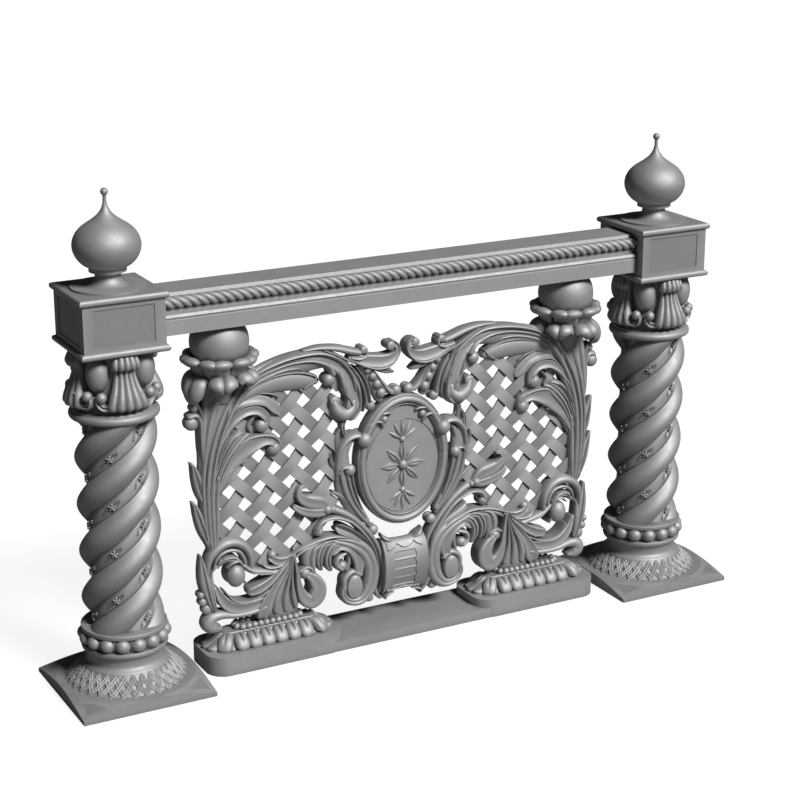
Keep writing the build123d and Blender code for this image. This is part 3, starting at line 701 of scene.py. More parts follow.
# %% Lower scroll
def lower_scroll(bm):
    band(bm, [(68, 112, 10, 16), (62, 150, 14, 20), (64, 200, 15, 22), (77, 245, 16, 22), (102, 285, 17, 23),
              (142, 330, 19, 23), (180, 357, 21, 22), (214, 371, 24, 20)])
    band(bm, [(80, 150, 5, 22), (80, 200, 8, 25), (90, 243, 10, 27), (118, 287, 12, 28), (152, 324, 13, 28),
              (190, 344, 14, 27), (218, 347, 15, 26), (239, 339, 17, 25), (250, 322, 18, 24)])
    drum(bm, 246, 315, 14, 14, 23)
    band(bm, [(86, 180, 6, 18), (93, 225, 12, 22), (122, 270, 20, 24), (155, 295, 27, 24),
              (183, 311, 29, 22)], HOLLOW)
    knob(bm, 87, 289, 15, 8)
    scroll_body(bm)
    scroll_leaves(bm)
    tulip(bm)


def scroll_body(bm):
    """The broad band that rolls into the oval eye, and the second curl inside it."""
    band(bm, [(174, 150, 16, 22), (176, 122, 22, 23), (156, 102, 26, 24), (124, 102, 34, 25),
              (98, 134, 46, 26),
              (92, 186, 50, 26), (112, 234, 48, 26), (150, 264, 38, 25), (196, 282, 24, 23)], TWO_RIDGES, 8)
    band(bm, [(174, 140, 18, 22), (172, 168, 18, 22), (150, 184, 18, 21), (126, 172, 16, 20)], ROUND, 6)
    drum(bm, 146, 142, 23, 34, 26, ROLL)
    band(bm, [(112, 140, 12, 22), (118, 116, 12, 22), (136, 106, 10, 22)])
    band(bm, [(96, 97, 26, 12), (110, 104, 24, 12)])
    band(bm, [(64, 92, 12, 10), (76, 108, 16, 14), (84, 130, 12, 18)])
    band(bm, [(206, 252, 22, 22), (184, 266, 28, 24), (154, 254, 34, 24), (134, 224, 36, 23),
              (130, 192, 30, 22),
              (138, 168, 20, 22)], SHALLOW, 6)
    band(bm, [(170, 240, 12, 20), (192, 232, 16, 24), (198, 214, 17, 25), (184, 200, 18, 25)], ROUND, 6)
    drum(bm, 180, 206, 16, 15, 24)
    band(bm, [(160, 236, 10, 16), (158, 212, 14, 15), (164, 192, 12, 14)])


def scroll_leaves(bm):
    """The leaf lobes that fall from the crest line."""
    band(bm, [(176, 274, 20, 20), (206, 268, 24, 23), (221, 244, 25, 24), (221, 220, 23, 22),
              (213, 203, 14, 18)], LEAF)
    band(bm, [(196, 280, 18, 20), (230, 276, 26, 23), (245, 250, 26, 24), (246, 226, 22, 22),
              (240, 209, 12, 17)], LEAF)
    band(bm, [(222, 286, 16, 20), (262, 274, 38, 23), (274, 244, 44, 23), (270, 220, 34, 21),
              (262, 205, 16, 16)], LEAF)
    band(bm, [(150, 276, 8, 20), (180, 289, 10, 25), (215, 295, 11, 26), (260, 290, 11, 25),
              (300, 277, 10, 22),
              (318, 267, 8, 16)])
    band(bm, [(262, 284, 10, 20), (292, 270, 16, 20), (310, 258, 10, 16)])


def tulip(bm):
    """The half-open flower at the end of the outer stem."""
    band(bm, [(218, 376, 20, 20), (240, 392, 36, 23), (266, 400, 38, 25), (290, 411, 28, 25),
              (303, 428, 18, 24),
              (298, 444, 12, 22), (286, 445, 9, 20)], BOLD, 7)
    band(bm, [(216, 368, 16, 20), (242, 368, 26, 23), (270, 373, 26, 24), (296, 383, 22, 23),
              (312, 394, 15, 19)], BOLD)
    band(bm, [(246, 402, 6, 24), (270, 412, 6, 27), (290, 423, 5, 26)])
    knob(bm, 222, 372, 12, 18)
    knob(bm, 207, 370, 8, 18)


print("lower scroll: ready")


# %% [markdown]
# The acanthus fan stands on the foot. From one root its ridges spread like the ribs of a shell. Beside it a
# crescent runs outwards under the ring scroll, and a hooked stem with three round berries and a spear leaf
# closes the corner.

# %% Acanthus fan on the foot
def foot_leaf(bm):
    fan_ribs(bm)
    fan_ends(bm)
    crescent(bm)
    corner_spray(bm)


def fan_ribs(bm):
    """The ridges of the fan, and the fat hook beside it."""
    root = (322, 264, 5, 22)
    band(bm, [root, (354, 234, 14, 24), (390, 206, 26, 25), (418, 192, 30, 25), (438, 187, 26, 22)], SHALLOW)
    band(bm, [root, (346, 224, 11, 24), (374, 188, 22, 25), (394, 156, 36, 25), (404, 130, 44, 23),
              (408, 118, 38, 20)],
         SHALLOW)
    band(bm, [root, (341, 216, 10, 25), (361, 180, 18, 26), (371, 148, 25, 25), (372, 120, 22, 21)])
    band(bm, [root, (333, 214, 10, 25), (342, 176, 17, 26), (346, 146, 23, 25), (344, 120, 20, 21)])
    band(bm, [root, (326, 212, 9, 24), (326, 174, 15, 26), (322, 146, 20, 25), (316, 124, 18, 21)])
    band(bm, [(319, 262, 6, 21), (312, 220, 11, 24), (307, 178, 19, 25), (293, 142, 34, 25),
              (273, 128, 44, 26),
              (256, 139, 48, 27), (252, 163, 44, 27), (263, 186, 34, 26), (277, 200, 22, 24)], BOLD, 7)
    band(bm, [(325, 250, 20, 14), (345, 200, 50, 16), (352, 160, 80, 16), (352, 120, 100, 14)])


def fan_ends(bm):
    """The rolled end beside the fan, and the two little leaves over the stem."""
    drum(bm, 286, 206, 17, 16, 23)
    band(bm, [(268, 190, 12, 20), (268, 214, 12, 22), (284, 224, 12, 22), (302, 216, 11, 22)])
    band(bm, [(316, 266, 8, 18), (340, 256, 20, 22), (364, 256, 24, 23), (380, 266, 20, 22)], SHALLOW)
    drum(bm, 378, 275, 12, 12, 21)
    band(bm, [(340, 246, 6, 18), (368, 241, 12, 22), (392, 244, 12, 22), (404, 252, 7, 18)])


def crescent(bm):
    band(bm, [(394, 164, 10, 22), (426, 152, 28, 24), (464, 148, 34, 25), (498, 158, 34, 24),
              (522, 182, 28, 22),
              (536, 214, 12, 17)], SHALLOW, 6)
    band(bm, [(394, 182, 6, 23), (428, 166, 7, 26), (466, 164, 7, 27), (494, 176, 7, 26), (512, 200, 6, 22)])
    band(bm, [(400, 136, 16, 20), (440, 130, 20, 23), (486, 131, 20, 24), (520, 138, 26, 25),
              (546, 136, 34, 26),
              (557, 120, 42, 26), (545, 107, 36, 25), (528, 103, 14, 19)], ROUND, 6)


def corner_spray(bm):
    """The spear leaf, its inner leaf and the three berries at the outer corner."""
    band(bm, [(542, 150, 10, 20), (554, 186, 24, 23), (563, 228, 34, 22), (569, 268, 26, 19),
              (574, 306, 8, 12)], LEAF)
    band(bm, [(538, 158, 8, 20), (545, 196, 14, 22), (549, 236, 16, 20), (546, 262, 6, 16)])
    for x, z, radius in ((560, 160, 15), (571, 182, 12), (576, 202, 10)):
        drum(bm, x, z, radius, radius, 17)


print("acanthus fan on the foot: ready")


# %% [markdown]
# Above the crescent a stem runs in a ring round a hanging bud, like a fern's crook. The ring's front is a
# broad round moulding with a second, deeper one inside it.

# %% Ring scroll and its bud
def ring_scroll(bm):
    band(bm, [(557, 244, 10, 18), (556, 280, 18, 22), (544, 308, 24, 25), (516, 328, 27, 27),
              (484, 330, 27, 27),
              (456, 314, 25, 26), (441, 286, 20, 25), (439, 254, 14, 22)], ROUND, 7)
    band(bm, [(542, 262, 6, 14), (528, 296, 12, 17), (500, 310, 14, 19), (470, 302, 14, 19),
              (455, 274, 14, 19),
              (456, 252, 12, 19)], ROUND, 7)
    band(bm, [(459, 262, 12, 22), (436, 244, 19, 24), (404, 235, 19, 24), (370, 229, 16, 22),
              (344, 240, 8, 18)], ROUND)
    band(bm, [(470, 268, 8, 16), (452, 256, 10, 20), (430, 238, 7, 25), (400, 230, 6, 26), (372, 226, 4, 24)])
    for face in (-1, 1):
        add_ball(bm, (483, face * 16, 241), (25, 22, 31))
    band(bm, [(462, 224, 8, 26), (456, 214, 6, 24)])
    bud_sepals(bm)


def bud_sepals(bm):
    """Three little leaves that clasp the bud from above."""
    band(bm, [(468, 272, 12, 24), (486, 287, 18, 26), (510, 288, 18, 24), (524, 275, 8, 18)], LEAF)
    band(bm, [(464, 262, 8, 25), (476, 280, 12, 30), (494, 280, 10, 32), (508, 268, 5, 28)])
    band(bm, [(500, 292, 10, 18), (520, 286, 12, 18), (528, 268, 6, 14)])
    band(bm, [(516, 276, 10, 12), (535, 268, 10, 12), (548, 252, 6, 12)])


print("ring scroll and its bud: ready")


# %% [markdown]
# The outer stem rises from the ring scroll to the bud under the handrail. Its ridges fan out upwards like
# reeds. Two spear leaves point outwards, two small curls turn out above them, and inwards it throws a tight
# curl, a broad lower curl and a spray of leaf tips.

# %% Outer stem
def horn(bm):
    band(bm, [(538, 322, 34, 18), (544, 380, 46, 19), (547, 450, 48, 19), (545, 520, 52, 19),
              (538, 590, 66, 19),
              (524, 660, 90, 19), (506, 730, 104, 18)])
    stem_reeds(bm)
    outer_curls(bm)
    spear_leaves(bm)
    inner_curl(bm)
    lower_curl(bm)
    leaf_spray(bm)


def stem_reeds(bm):
    """The ridges that run up the stem and part towards the bud and the arch."""
    band(bm, [(532, 326, 11, 18), (528, 390, 16, 21), (526, 450, 16, 21), (522, 510, 11, 20)])
    band(bm, [(538, 326, 11, 20), (540, 400, 18, 24), (540, 470, 18, 25), (532, 540, 15, 26),
              (514, 610, 14, 27),
              (484, 674, 15, 27), (452, 722, 15, 26), (436, 742, 11, 22)])
    band(bm, [(546, 330, 11, 20), (551, 410, 16, 24), (552, 490, 16, 26), (544, 560, 15, 27),
              (526, 625, 15, 27),
              (498, 684, 16, 26), (470, 724, 16, 24), (456, 742, 11, 20)])
    band(bm, [(554, 340, 11, 19), (561, 420, 14, 22), (563, 500, 14, 24), (556, 570, 16, 25),
              (542, 640, 20, 25),
              (524, 700, 30, 23), (512, 740, 24, 18)])
    band(bm, [(560, 540, 9, 21), (560, 600, 16, 22), (555, 660, 22, 22), (548, 710, 24, 20),
              (545, 744, 19, 17)])
    band(bm, [(500, 640, 11, 22), (486, 690, 19, 22), (488, 730, 22, 19)])


def outer_curls(bm):
    """The two small curls on the outside of the stem."""
    band(bm, [(556, 520, 6, 18), (563, 580, 10, 21), (564, 626, 12, 22), (564, 660, 14, 22),
              (574, 680, 16, 22),
              (590, 678, 18, 20)], ROUND, 6)
    drum(bm, 586, 660, 18, 18, 21)
    band(bm, [(556, 660, 8, 18), (564, 692, 10, 20), (572, 708, 12, 18), (580, 706, 12, 16)])
    drum(bm, 578, 698, 11, 11, 18)


def spear_leaves(bm):
    for points in ([(556, 436, 12, 19), (568, 476, 28, 20), (576, 514, 28, 18), (586, 548, 12, 14),
                    (592, 556, 4, 9)],
                   [(550, 330, 12, 19), (564, 374, 28, 20), (575, 414, 26, 17), (586, 446, 12, 13),
                    (592, 453, 4, 8)]):
        band(bm, points, LEAF)
    band(bm, [(560, 452, 4, 21), (572, 490, 5, 21), (581, 522, 4, 18), (587, 548, 2, 12)])
    band(bm, [(556, 350, 4, 21), (568, 390, 5, 21), (579, 425, 4, 18), (586, 447, 2, 12)])


def inner_curl(bm):
    """The tight curl that closes on a rolled end."""
    band(bm, [(530, 560, 10, 22), (508, 612, 16, 24), (480, 650, 21, 25), (446, 671, 24, 25),
              (412, 670, 25, 25),
              (390, 650, 24, 25), (388, 630, 22, 24)], SHALLOW, 7)
    drum(bm, 400, 628, 19, 18, 25)
    band(bm, [(424, 652, 6, 18), (438, 634, 8, 18), (432, 616, 6, 17)])


def lower_curl(bm):
    band(bm, [(528, 470, 20, 19), (506, 520, 40, 20), (468, 560, 50, 21), (428, 582, 44, 23),
              (392, 590, 32, 24),
              (367, 582, 30, 24), (362, 568, 30, 24)], SHALLOW, 6)
    drum(bm, 368, 562, 19, 18, 24)
    band(bm, [(470, 586, 8, 19), (440, 600, 9, 23), (405, 604, 9, 25), (372, 596, 8, 25), (355, 578, 6, 23)])
    band(bm, [(524, 452, 6, 16), (505, 506, 8, 19), (474, 532, 9, 19), (444, 544, 6, 16)])
    band(bm, [(516, 462, 5, 14), (500, 494, 7, 16), (482, 514, 5, 14)])


def leaf_spray(bm):
    """The leaf tips between the two curls."""
    band(bm, [(536, 500, 11, 22), (524, 560, 16, 25), (506, 604, 20, 26), (489, 634, 12, 22)], LEAF)
    band(bm, [(532, 500, 11, 21), (510, 560, 19, 25), (486, 596, 30, 26), (462, 613, 24, 23),
              (452, 614, 11, 18)], LEAF)
    band(bm, [(520, 500, 14, 20), (496, 550, 24, 23), (468, 584, 30, 24), (446, 604, 22, 22),
              (434, 611, 8, 17)], LEAF)
    band(bm, [(520, 556, 5, 27), (500, 590, 7, 28), (476, 612, 5, 26)])


print("outer stem: ready")


# %% [markdown]
# The arch springs from the stem, runs under the handrail and rolls into the volute above the medallion. Its
# front is a set of long ridges with a deep groove between the second and the third, which ends in a ball.

# %% Arch
def arch(bm):
    band(bm, [(500, 664, 34, 17), (466, 712, 46, 18), (420, 744, 56, 18), (350, 764, 58, 18),
              (280, 774, 56, 18),
              (220, 774, 48, 18), (182, 756, 40, 18)])
    band(bm, [(448, 740, 6, 20), (404, 769, 10, 24), (344, 788, 12, 26), (284, 796, 13, 27),
              (236, 794, 13, 27),
              (196, 778, 13, 27), (168, 754, 12, 26), (148, 722, 11, 26), (139, 686, 10, 25)], ROUND, 6)
    band(bm, [(440, 736, 6, 20), (400, 759, 8, 23), (344, 775, 9, 24), (290, 780, 10, 25), (246, 774, 13, 26),
              (214, 757, 18, 26), (202, 736, 20, 25)], ROUND, 6)
    drum(bm, 211, 720, 18, 17, 24)
    band(bm, [(436, 728, 8, 20), (396, 749, 10, 22), (344, 763, 10, 23), (304, 764, 8, 22),
              (288, 758, 4, 19)])
    band(bm, [(280, 804, 6, 12), (236, 806, 12, 18), (190, 799, 18, 21), (152, 787, 20, 22),
              (126, 780, 18, 22)], ROUND)
    for points in ([(226, 800, 4, 24), (192, 784, 7, 26), (160, 765, 8, 26), (132, 750, 4, 22)],
                   [(220, 792, 4, 26), (186, 774, 7, 27), (158, 752, 7, 26), (138, 734, 4, 22)]):
        band(bm, points)
    arch_underleaf(bm)


def arch_underleaf(bm):
    """The broad leaf rolled under the arch, and the roll beside the tight curl."""
    band(bm, [(470, 690, 16, 14), (430, 716, 34, 16), (380, 730, 50, 17), (320, 732, 56, 17),
              (272, 726, 46, 16),
              (250, 722, 24, 14)])
    band(bm, [(420, 738, 5, 18), (360, 752, 6, 20), (300, 752, 6, 20), (256, 738, 6, 19), (238, 722, 4, 16)])
    band(bm, [(246, 734, 5, 18), (258, 720, 9, 18), (280, 706, 6, 14)])
    band(bm, [(496, 650, 10, 18), (462, 690, 22, 22), (424, 698, 26, 23), (388, 690, 28, 22),
              (362, 668, 30, 19),
              (350, 655, 20, 15)], ROLLED, 6)
    band(bm, [(400, 712, 4, 16), (370, 706, 5, 18), (352, 694, 4, 16)])


print("arch: ready")


# %% [markdown]
# Above the medallion the arch rolls up: its hollow band turns inwards on itself as a fat hook with a rolled
# tip. Three thin reeds run down beside it, and the innermost ends in a small ball.

# %% Volute above the medallion
def inner_volute(bm):
    band(bm, [(196, 764, 34, 20), (168, 738, 46, 22), (150, 704, 50, 23), (143, 668, 44, 24),
              (148, 640, 40, 26)],
         SHALLOW, 7)
    band(bm, [(144, 652, 22, 22), (150, 632, 34, 27), (170, 622, 40, 30), (190, 636, 36, 29),
              (198, 656, 26, 24)], ROUND, 8)
    drum(bm, 197, 662, 14, 13, 22, ROLL)
    band(bm, [(186, 740, 5, 22), (177, 706, 7, 25), (170, 682, 8, 26), (158, 664, 8, 27), (150, 648, 9, 27)])
    band(bm, [(150, 724, 6, 24), (134, 690, 9, 27), (127, 655, 10, 28), (130, 630, 12, 27),
              (144, 612, 14, 26),
              (152, 606, 9, 22)], ROUND, 6)
    band(bm, [(150, 744, 5, 23), (128, 712, 8, 26), (115, 678, 9, 27), (111, 646, 8, 25), (118, 624, 5, 22)])
    band(bm, [(134, 742, 5, 21), (114, 712, 8, 24), (102, 678, 9, 25), (96, 646, 10, 23)])
    knob(bm, 94, 634, 14, 9)
    band(bm, [(138, 728, 20, 16), (114, 690, 26, 16), (106, 645, 24, 16)])


print("volute above the medallion: ready")


# %% [markdown]
# In the middle of the crest two curls meet. Each is a hollow band that sweeps up and over to a rolled head.
# Under it a leaf points to the middle, and a band and a string of beads, each larger than the last, run down
# to the oval.

# %% Crest
BEAD_STRING = ((114, 744, 8), (102.5, 730, 9.5), (88, 712, 11), (75.5, 690, 12.5), (64, 665, 13.5))


def crest(bm):
    band(bm, [(150, 770, 12, 18), (124, 760, 28, 20), (92, 753, 36, 22), (60, 749, 36, 23), (32, 755, 28, 24),
              (17, 770, 18, 24), (18, 785, 15, 22), (28, 793, 15, 20)], SHALLOW, 7)
    drum(bm, 36, 787, 12, 12, 22, ROLL)
    band(bm, [(150, 764, 5, 22), (116, 745, 7, 26), (76, 732, 8, 27), (42, 735, 8, 27), (20, 752, 7, 26)])
    small_curl(bm)
    band(bm, [(100, 746, 6, 20), (74, 732, 18, 22), (46, 722, 20, 20), (27, 715, 8, 15)], LEAF)
    band(bm, [(96, 738, 8, 16), (80, 712, 20, 18), (60, 684, 22, 20), (38, 665, 18, 20), (26, 660, 14, 18)])
    band(bm, [(86, 728, 5, 20), (66, 698, 7, 23), (48, 672, 7, 24), (32, 658, 5, 22)])
    knob(bm, 18, 663, 15, 8)
    for x, z, radius in BEAD_STRING:
        knob(bm, x, z, radius, 14)
    band(bm, [(122, 742, 10, 12), (96, 708, 22, 13), (74, 670, 28, 13), (66, 650, 26, 13)])


def small_curl(bm):
    """The little roll at the end of the arch's top edge."""
    band(bm, [(146, 768, 10, 20), (124, 764, 14, 23), (106, 770, 12, 22), (104, 782, 11, 20)], ROUND, 6)
    drum(bm, 113, 786, 10.5, 10, 20, ROLL)


print("crest: ready")


# %% [markdown]
# Beside the medallion stands an acanthus bracket. Its long ridges rise from the lower stems, and it ends in a
# hooked arm whose knob lies over the oval ring, with a second, smaller knob below.

# %% Bracket
def bracket(bm):
    band(bm, [(104, 318, 18, 16), (140, 362, 44, 17), (164, 420, 56, 17), (172, 480, 44, 16),
              (170, 530, 30, 15)])
    band(bm, [(100, 306, 6, 17), (138, 352, 9, 21), (168, 404, 11, 23), (182, 452, 10, 24),
              (186, 480, 8, 22)])
    band(bm, [(110, 330, 6, 18), (140, 378, 9, 22), (157, 424, 10, 24), (165, 458, 8, 24)])
    band(bm, [(120, 356, 5, 17), (136, 396, 8, 22), (147, 436, 9, 23), (150, 468, 6, 21)])
    band(bm, [(150, 360, 6, 16), (180, 398, 12, 18), (202, 414, 8, 14)], LEAF)
    band(bm, [(190, 448, 12, 16), (190, 492, 15, 22), (182, 528, 18, 25), (162, 553, 20, 27),
              (138, 560, 20, 28),
              (120, 552, 20, 28)], ROUND, 6)
    knob(bm, 116, 546, 20, 22)
    band(bm, [(166, 500, 16, 14), (158, 530, 18, 15), (146, 545, 12, 14)])
    band(bm, [(190, 462, 6, 22), (178, 478, 10, 26), (164, 480, 14, 28)])
    knob(bm, 157, 470, 16, 16)
    for points in ([(186, 470, 8, 12), (204, 494, 12, 13), (206, 520, 5, 11)],
                   [(186, 520, 8, 12), (190, 556, 13, 13), (181, 580, 5, 11)],
                   [(166, 560, 10, 14), (172, 590, 15, 15), (160, 612, 8, 12)]):
        band(bm, points, LEAF)


print("bracket: ready")


# %% [markdown]
# The field behind the scrolls is a lattice of flat stone slats that pass over and under each other. Each slat
# is one long sweep that waves a little forwards and backwards from crossing to crossing. A slat's ends lie
# where its line meets the field's edge, hidden under the scrolls.

# %% Woven lattice
LATTICE_STEP = 83.6 / math.sqrt(2)
LATTICE_WIDTH = 31.0
LATTICE_HOLE = (279.0, 337.0)
LATTICE_WAVE = 4.6
LATTICE_THICKNESS = 3.4
FIELD_EDGE = ((545, 332), (545, 560), (500, 680), (420, 745), (230, 738), (176, 704), (160, 600), (178, 480),
              (186, 400), (205, 350), (250, 305), (300, 268), (420, 248), (500, 320))
SLAT = [(-1, -0.7), (-0.96, -1), (0.96, -1), (1, -0.7), (1, 0.7), (0.96, 1), (-0.96, 1), (-1, 0.7)]


def field_crossings(origin, along):
    """Where a line meets the field's edge, as distances along it."""
    found = []
    for (x0, z0), (x1, z1) in zip(FIELD_EDGE, FIELD_EDGE[1:] + FIELD_EDGE[:1]):
        edge = (x1 - x0, z1 - z0)
        cross = along[0] * edge[1] - along[1] * edge[0]
        if abs(cross) > 1e-6:
            apart = (x0 - origin[0], z0 - origin[1])
            distance = (apart[0] * edge[1] - apart[1] * edge[0]) / cross
            share = (apart[0] * along[1] - apart[1] * along[0]) / cross
            if 0 <= share < 1:
                found.append(distance)
    return sorted(found)


def lattice(bm):
    """Slats one way and then the other, out of step so that they weave."""
    slope = math.sqrt(0.5)
    for way in (1, -1):
        along, across = (slope, slope * way), (-slope * way, slope)
        for k in range(-12, 13):
            offset = (k + 0.5) * LATTICE_STEP
            origin = (LATTICE_HOLE[0] + across[0] * offset, LATTICE_HOLE[1] + across[1] * offset)
            reach = field_crossings(origin, along)
            for start, end in zip(reach[::2], reach[1::2]):
                if end - start > LATTICE_WIDTH:
                    waving_slat(bm, origin, along, start, end, k)


def waving_slat(bm, origin, along, start, end, k):
    frames = []
    steps = max(4, int((end - start) / LATTICE_STEP * 6))
    for i in range(steps + 1):
        distance = start + (end - start) * i / steps
        lift = -LATTICE_WAVE * (-1) ** k * math.cos(math.pi * (distance / LATTICE_STEP - 0.5))
        place = (origin[0] + along[0] * distance, lift, origin[1] + along[1] * distance)
        frames.append(frame_at(place, (along[1], 0, -along[0]), (0, -1, 0), LATTICE_WIDTH / 2,
                               LATTICE_THICKNESS))
    add_copy(bm, sweep(SLAT, frames))


print("woven lattice: ready")


# %% Cut the pieces of both halves
PANEL_PARTS = {"lower_scroll": lower_scroll, "foot_leaf": foot_leaf, "ring_scroll": ring_scroll, "horn": horn,
               "arch": arch, "inner_volute": inner_volute, "crest": crest, "bracket": bracket,
               "lattice": lattice}
for part, carve in PANEL_PARTS.items():
    half_bm = bmesh.new()
    carve(half_bm)
    half = as_mesh(half_bm)
    for side, turn in (("right", Matrix.Identity(4)), ("left", MIRROR_X)):
        piece_bm = bmesh.new()
        add_copy(piece_bm, half, turn)
        finish_piece(piece_bm, f"{side}_{part}_carved", [f"{side}_{part}"])
print("pieces of both halves cut")


# %% [markdown]
# The oval medallion in the middle has a round moulded rim with a fine bead inside it, a sunk field with a
# raised line, and two sprigs at its head. A plain eight-leaved rosette with a palmette above and below fills
# the field, an ornament that masons have always used for such a place.

# %% Medallion
OVAL_HEIGHT = 474.0
FIELD_HALF_WIDTH = 113.0
FIELD_HALF_HEIGHT = 152.0
FIELD_DEPTH = 12.0
ROSETTE_HEIGHT = 458.0
PALMETTE_OFFSET = 70.0


def oval_band(bm, centre, half_width, half_height, width, depth, section=ROUND):
    """A moulding that runs once round an oval."""
    points = []
    for k in range(49):
        turn = 2 * math.pi * k / 48
        points.append((half_width * math.cos(turn), centre + half_height * math.sin(turn), width, depth))
    band(bm, points, section, 2)


def medallion_ring(bm):
    oval_band(bm, OVAL_HEIGHT, 121, 165, 23, 27)
    oval_band(bm, OVAL_HEIGHT, 110.5, 152, 6, 20)
    oval_band(bm, OVAL_HEIGHT, 132, 176, 8, 20)


def medallion_field(bm):
    disc = bmesh.ops.create_circle(bm, cap_ends=True, segments=96, radius=1.0)["verts"]
    bmesh.ops.scale(bm, vec=(FIELD_HALF_WIDTH, FIELD_HALF_HEIGHT, 1), verts=disc)
    bmesh.ops.rotate(bm, matrix=Matrix.Rotation(math.radians(90), 3, "X"), verts=disc)
    bmesh.ops.translate(bm, vec=(0, FIELD_DEPTH, OVAL_HEIGHT), verts=disc)
    raised = bmesh.ops.extrude_face_region(bm, geom=bm.faces[:])["geom"]
    front = [g for g in raised if isinstance(g, bmesh.types.BMVert)]
    bmesh.ops.translate(bm, vec=(0, -2 * FIELD_DEPTH, 0), verts=front)
    oval_band(bm, ROSETTE_HEIGHT, 108, 127, 3.5, 14.5)
    for side in (1, -1):
        sprig = bmesh.new()
        band(sprig, [(112, 562, 7, 20), (102, 580, 10, 25), (84, 590, 12, 27), (66, 586, 12, 26),
                     (60, 575, 13, 23)])
        band(sprig, [(92, 598, 5, 20), (72, 606, 9, 25), (50, 609, 12, 25), (38, 605, 9, 22)])
        knob(sprig, 56, 592, 10, 17)
        add_copy(bm, as_mesh(sprig), Matrix.Diagonal((side, 1, 1, 1)))
    rosette(bm)


def rosette(bm):
    """Eight leaves round a button, with a palmette above and below."""
    middle = ROSETTE_HEIGHT
    near, far = 14, 62
    for k in range(8):
        turn = math.radians(45 * k)
        points = [(near * math.cos(turn), middle + near * math.sin(turn), 10, 16),
                  (0.6 * far * math.cos(turn), middle + 0.6 * far * math.sin(turn), 26, 19),
                  (far * math.cos(turn), middle + far * math.sin(turn), 7, 15)]
        band(bm, points, LEAF)
    knob(bm, 0, middle, 13, 14)
    for way in (1, -1):
        for lean, reach in ((0, 52), (28, 48), (-28, 48), (58, 42), (-58, 42)):
            turn = math.radians(90 - lean)
            foot = middle + way * PALMETTE_OFFSET
            points = [(4 * math.cos(turn), foot + way * 4 * math.sin(turn), 6, 15),
                      (0.6 * reach * math.cos(turn), foot + way * 0.6 * reach * math.sin(turn), 15, 18),
                      (reach * math.cos(turn), foot + way * reach * math.sin(turn), 10, 15)]
            band(bm, points)
        knob(bm, 0, middle + way * PALMETTE_OFFSET, 9, 12)


print("medallion: ready")


# %% [markdown]
# Under the oval a spool lies level and ties the two big scrolls together. It is thinnest in its middle and
# flares to a rim at both ends. A scalloped cloth is folded over it, a sunk band with three cross lines runs
# down its front, and a bowed edge with small hooks closes it below. The cloth and the band are raised from
# and sunk into the spool.

# %% Collar
COLLAR_HEIGHT = 177.5
COLLAR_HALF_LENGTH = 64
BAND_LINES = (198, 172, 146)
CLOTH_THICKNESS = 3.6
BAND_SINK = 2.4


def spool_size(x):
    """Half the height and half the depth of the spool at a place along it."""
    flare = (abs(x) / COLLAR_HALF_LENGTH) ** 2.4
    return 70 + 10 * flare, 31 + 10.5 * flare


def cloth_lift(x, z):
    """How far the surface stands out at a place on the front or the back."""
    hem = 228 + 12 * (1 - abs(math.sin(math.pi * (x + 20) / 50)) ** 0.8)
    lower_hem = 119 - 7 * abs(math.sin(math.pi * x / 62)) ** 0.7
    if abs(x) < 52 and z > hem:
        return CLOTH_THICKNESS
    if abs(x) < 50 and z < lower_hem:
        return CLOTH_THICKNESS
    band_half = 32 + 1.5 * math.sin(z * 0.22)
    if abs(x) < band_half and 122 < z < 220:
        line = any(abs(z - height) < 1.6 for height in BAND_LINES)
        return -BAND_SINK * (0.35 if line else 1)
    return 0.0


def collar(bm):
    body = bmesh.new()
    circle = [(math.cos(2 * math.pi * k / 144), math.sin(2 * math.pi * k / 144)) for k in range(144)]
    frames = []
    for x in range(-COLLAR_HALF_LENGTH, COLLAR_HALF_LENGTH + 1):
        half_height, half_depth = spool_size(x)
        frames.append(frame_at((x, 0, COLLAR_HEIGHT), (0, 0, 1), (0, -1, 0), half_height, half_depth))
    add_copy(body, sweep(circle, frames))
    for vert in body.verts:
        half_height, half_depth = spool_size(vert.co.x)
        out = Vector((0, vert.co.y / half_depth ** 2, (vert.co.z - COLLAR_HEIGHT) / half_height ** 2))
        if out.length > 1e-6 and abs(vert.co.x) < 63.5:
            vert.co += out.normalized() * cloth_lift(vert.co.x, vert.co.z)
    add_copy(bm, as_mesh(body))
    for side in (1, -1):
        hooks = bmesh.new()
        band(hooks, [(34, 249, 6, 16), (46, 254, 12, 20), (56, 262, 10, 16), (60, 270, 5, 10)])
        band(hooks, [(30, 104, 5, 22), (44, 102, 8, 26), (54, 95, 9, 24), (52, 88, 6, 20)])
        add_copy(bm, as_mesh(hooks), Matrix.Diagonal((side, 1, 1, 1)))


print("collar: ready")


# %% [markdown]
# A round bud rises from a cup at each end of the panel and meets the handrail. The cup is a funnel of six
# petals, each ending in two plump lobes that turn outwards, and six sepals droop below it over the stem.

# %% Bud cup and sepals
BUD_X = 503.0
PETAL_COUNT = 6
CUP_LINE = smooth_line([(42, 765), (54, 770), (66, 782), (76, 798), (80, 810)], 4)


